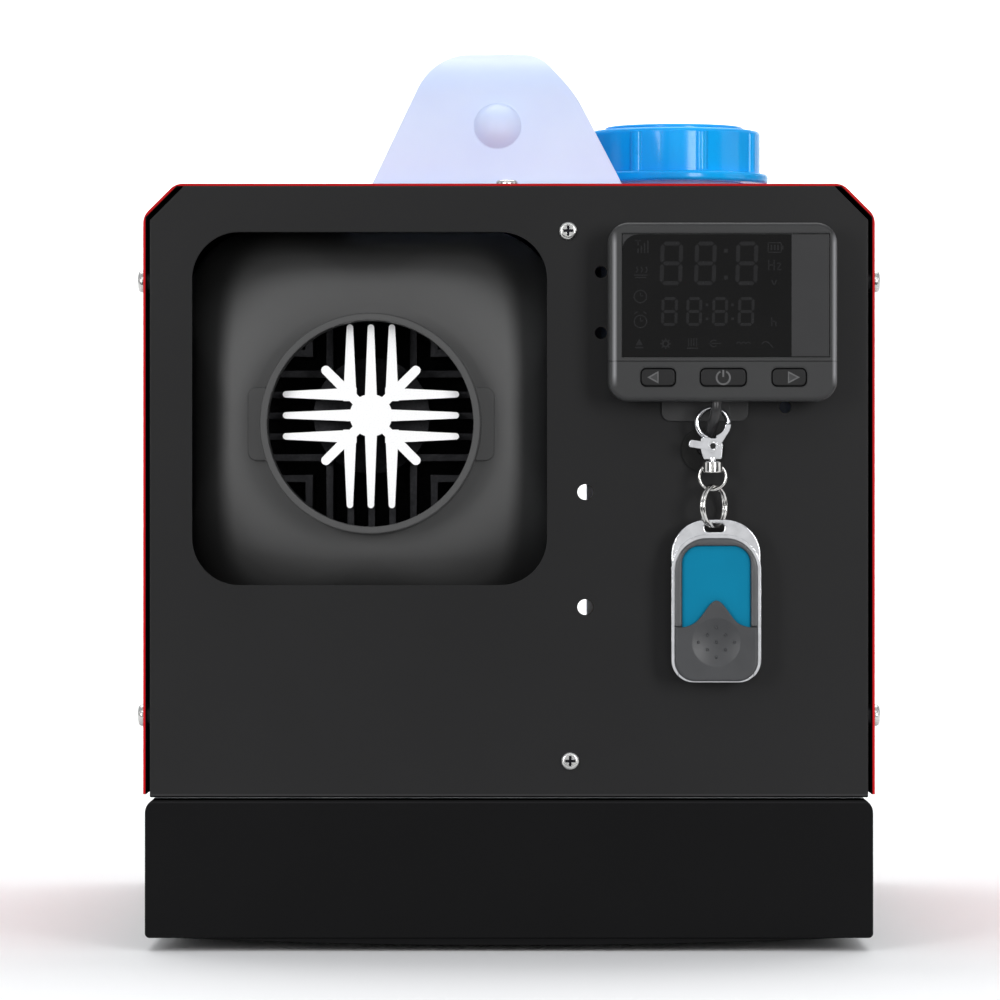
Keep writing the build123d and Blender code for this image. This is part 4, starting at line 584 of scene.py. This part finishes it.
def grip_dots():
    """Nine small domes in a diamond, seated on the dished thumb rest."""
    mesh = bmesh.new()
    dish_y, dish_z, dish_radius, middle_x = -205.5 + 0.9 - 37.8, 105.5, 37.8, 69.9
    for row in (-1, 0, 1):
        for column in (-1, 0, 1):
            across, up = (row + column) * 3.05, (column - row) * 2.5
            seat = dish_y + sqrt(dish_radius ** 2 - across ** 2 - up ** 2)
            made = bmesh.ops.create_icosphere(mesh, subdivisions=3, radius=0.00055)
            for point in made["verts"]:
                point.co.y *= 0.7
                point.co += Vector(((middle_x + across) / 1000, seat / 1000, (dish_z + up) / 1000))
    data = bpy.data.meshes.new("grip_dots")
    mesh.to_mesh(data)
    mesh.free()
    for face in data.polygons:
        face.use_smooth = True
    piece = bpy.data.objects.new("grip_dots", data)
    bpy.context.scene.collection.objects.link(piece)
    data.materials.append(slider_abs)
    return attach(piece, "slider")


grip_dots()


# ---- Studio ----

def sweep():
    """A pale floor that curves up into a backdrop behind the object."""
    profile = [(-0.5, 0.0), (3.0, 0.0)]
    profile += [(3.0 + 1.5 * sin(radians(a)), 1.5 - 1.5 * cos(radians(a))) for a in range(6, 91, 6)]
    profile += [(4.5, 6.0)]
    points = [(x, y, z) for x in (-7.0, 7.0) for y, z in profile]
    count = len(profile)
    faces = [(k, k + 1, count + k + 1, count + k) for k in range(count - 1)]
    data = bpy.data.meshes.new("studio_sweep")
    data.from_pydata(points, [], faces)
    for face in data.polygons:
        face.use_smooth = True
    floor = bpy.data.objects.new("studio_sweep", data)
    bpy.context.scene.collection.objects.link(floor)
    data.materials.append(surface("pale_studio_paper", ("#fafafa", "#fdfdfd"), (0.85, 0.95), 3.0, 0.02,
                                  patch=400, edge=0.1))
    return floor


sweep()


def lamp(name, place, target, size, power):
    """A rectangular softbox at a place in metres, turned to a target."""
    light = bpy.data.lights.new(name, "AREA")
    light.shape = "RECTANGLE"
    light.size, light.size_y = size
    light.energy = power
    piece = bpy.data.objects.new(name, light)
    piece.location = place
    piece.rotation_euler = (Vector(target) - Vector(place)).to_track_quat("-Z", "Y").to_euler()
    bpy.context.scene.collection.objects.link(piece)


outlet = (-0.06, -0.17, 0.17)
lamp("softbox_left", (-0.92, -1.95, 0.42), outlet, (0.5, 0.7), 13)
lamp("softbox_right", (0.88, -1.95, 0.42), outlet, (0.5, 0.7), 13)
lamp("softbox_top", (0.0, 0.75, 1.9), (0, 0.3, 0.1), (2.0, 1.2), 21)
lamp("softbox_front", (0.0, -1.0, 0.8), (0, -0.19, 0.2), (1.0, 0.25), 1.3)
lamp("strip_left", (-1.5, -0.35, 0.3), (-0.1, -0.19, 0.2), (0.8, 0.9), 1.6)
lamp("strip_right", (1.5, -0.35, 0.4), (0.1, -0.19, 0.2), (0.8, 0.9), 2.4)
lamp("card_behind", (0.0, -4.2, 0.3), (0, 0, 0.2), (1.1, 1.1), 2.6)
lamp("backdrop_light", (0.0, 2.2, 2.6), (0, 4.4, 0.8), (3.0, 0.6), 90)


def soft_room():
    """Dim walls round a bright ceiling; the camera itself sees the pale backdrop going on."""
    world = bpy.data.worlds.new("soft_room")
    world.use_nodes = True
    tree = world.node_tree
    tree.nodes.clear()
    place = add(tree, "ShaderNodeTexCoord")
    split = add(tree, "ShaderNodeSeparateXYZ", {0: place.outputs["Generated"]})
    height = add(tree, "ShaderNodeMapRange", {0: split.outputs["Z"], 1: -0.25, 2: 0.6, 3: 0.02, 4: 0.6},
                 interpolation_type="SMOOTHSTEP")
    room = add(tree, "ShaderNodeBackground", {"Color": linear("#f6f8fc"), "Strength": height.outputs[0]})
    behind = add(tree, "ShaderNodeBackground", {"Color": linear("#ffffff"), "Strength": 1.0})
    seen = add(tree, "ShaderNodeLightPath")
    both = add(tree, "ShaderNodeMixShader", {0: seen.outputs["Is Camera Ray"], 1: room.outputs[0],
                                             2: behind.outputs[0]})
    add(tree, "ShaderNodeOutputWorld", {"Surface": both.outputs[0]})
    return world


bpy.context.scene.world = soft_room()
bpy.context.scene.view_settings.view_transform = "Standard"

# The camera stands 2 m in front of the panel, level with the middle of the picture.
camera = bpy.data.objects.new("camera", bpy.data.cameras.new("camera"))
camera.location = (-0.00306, -2.188, 0.1535)
camera.rotation_euler = (pi / 2, 0, 0)
camera.data.lens = 211.8
camera.data.sensor_width = 36.0
bpy.context.scene.collection.objects.link(camera)
bpy.context.scene.camera = camera
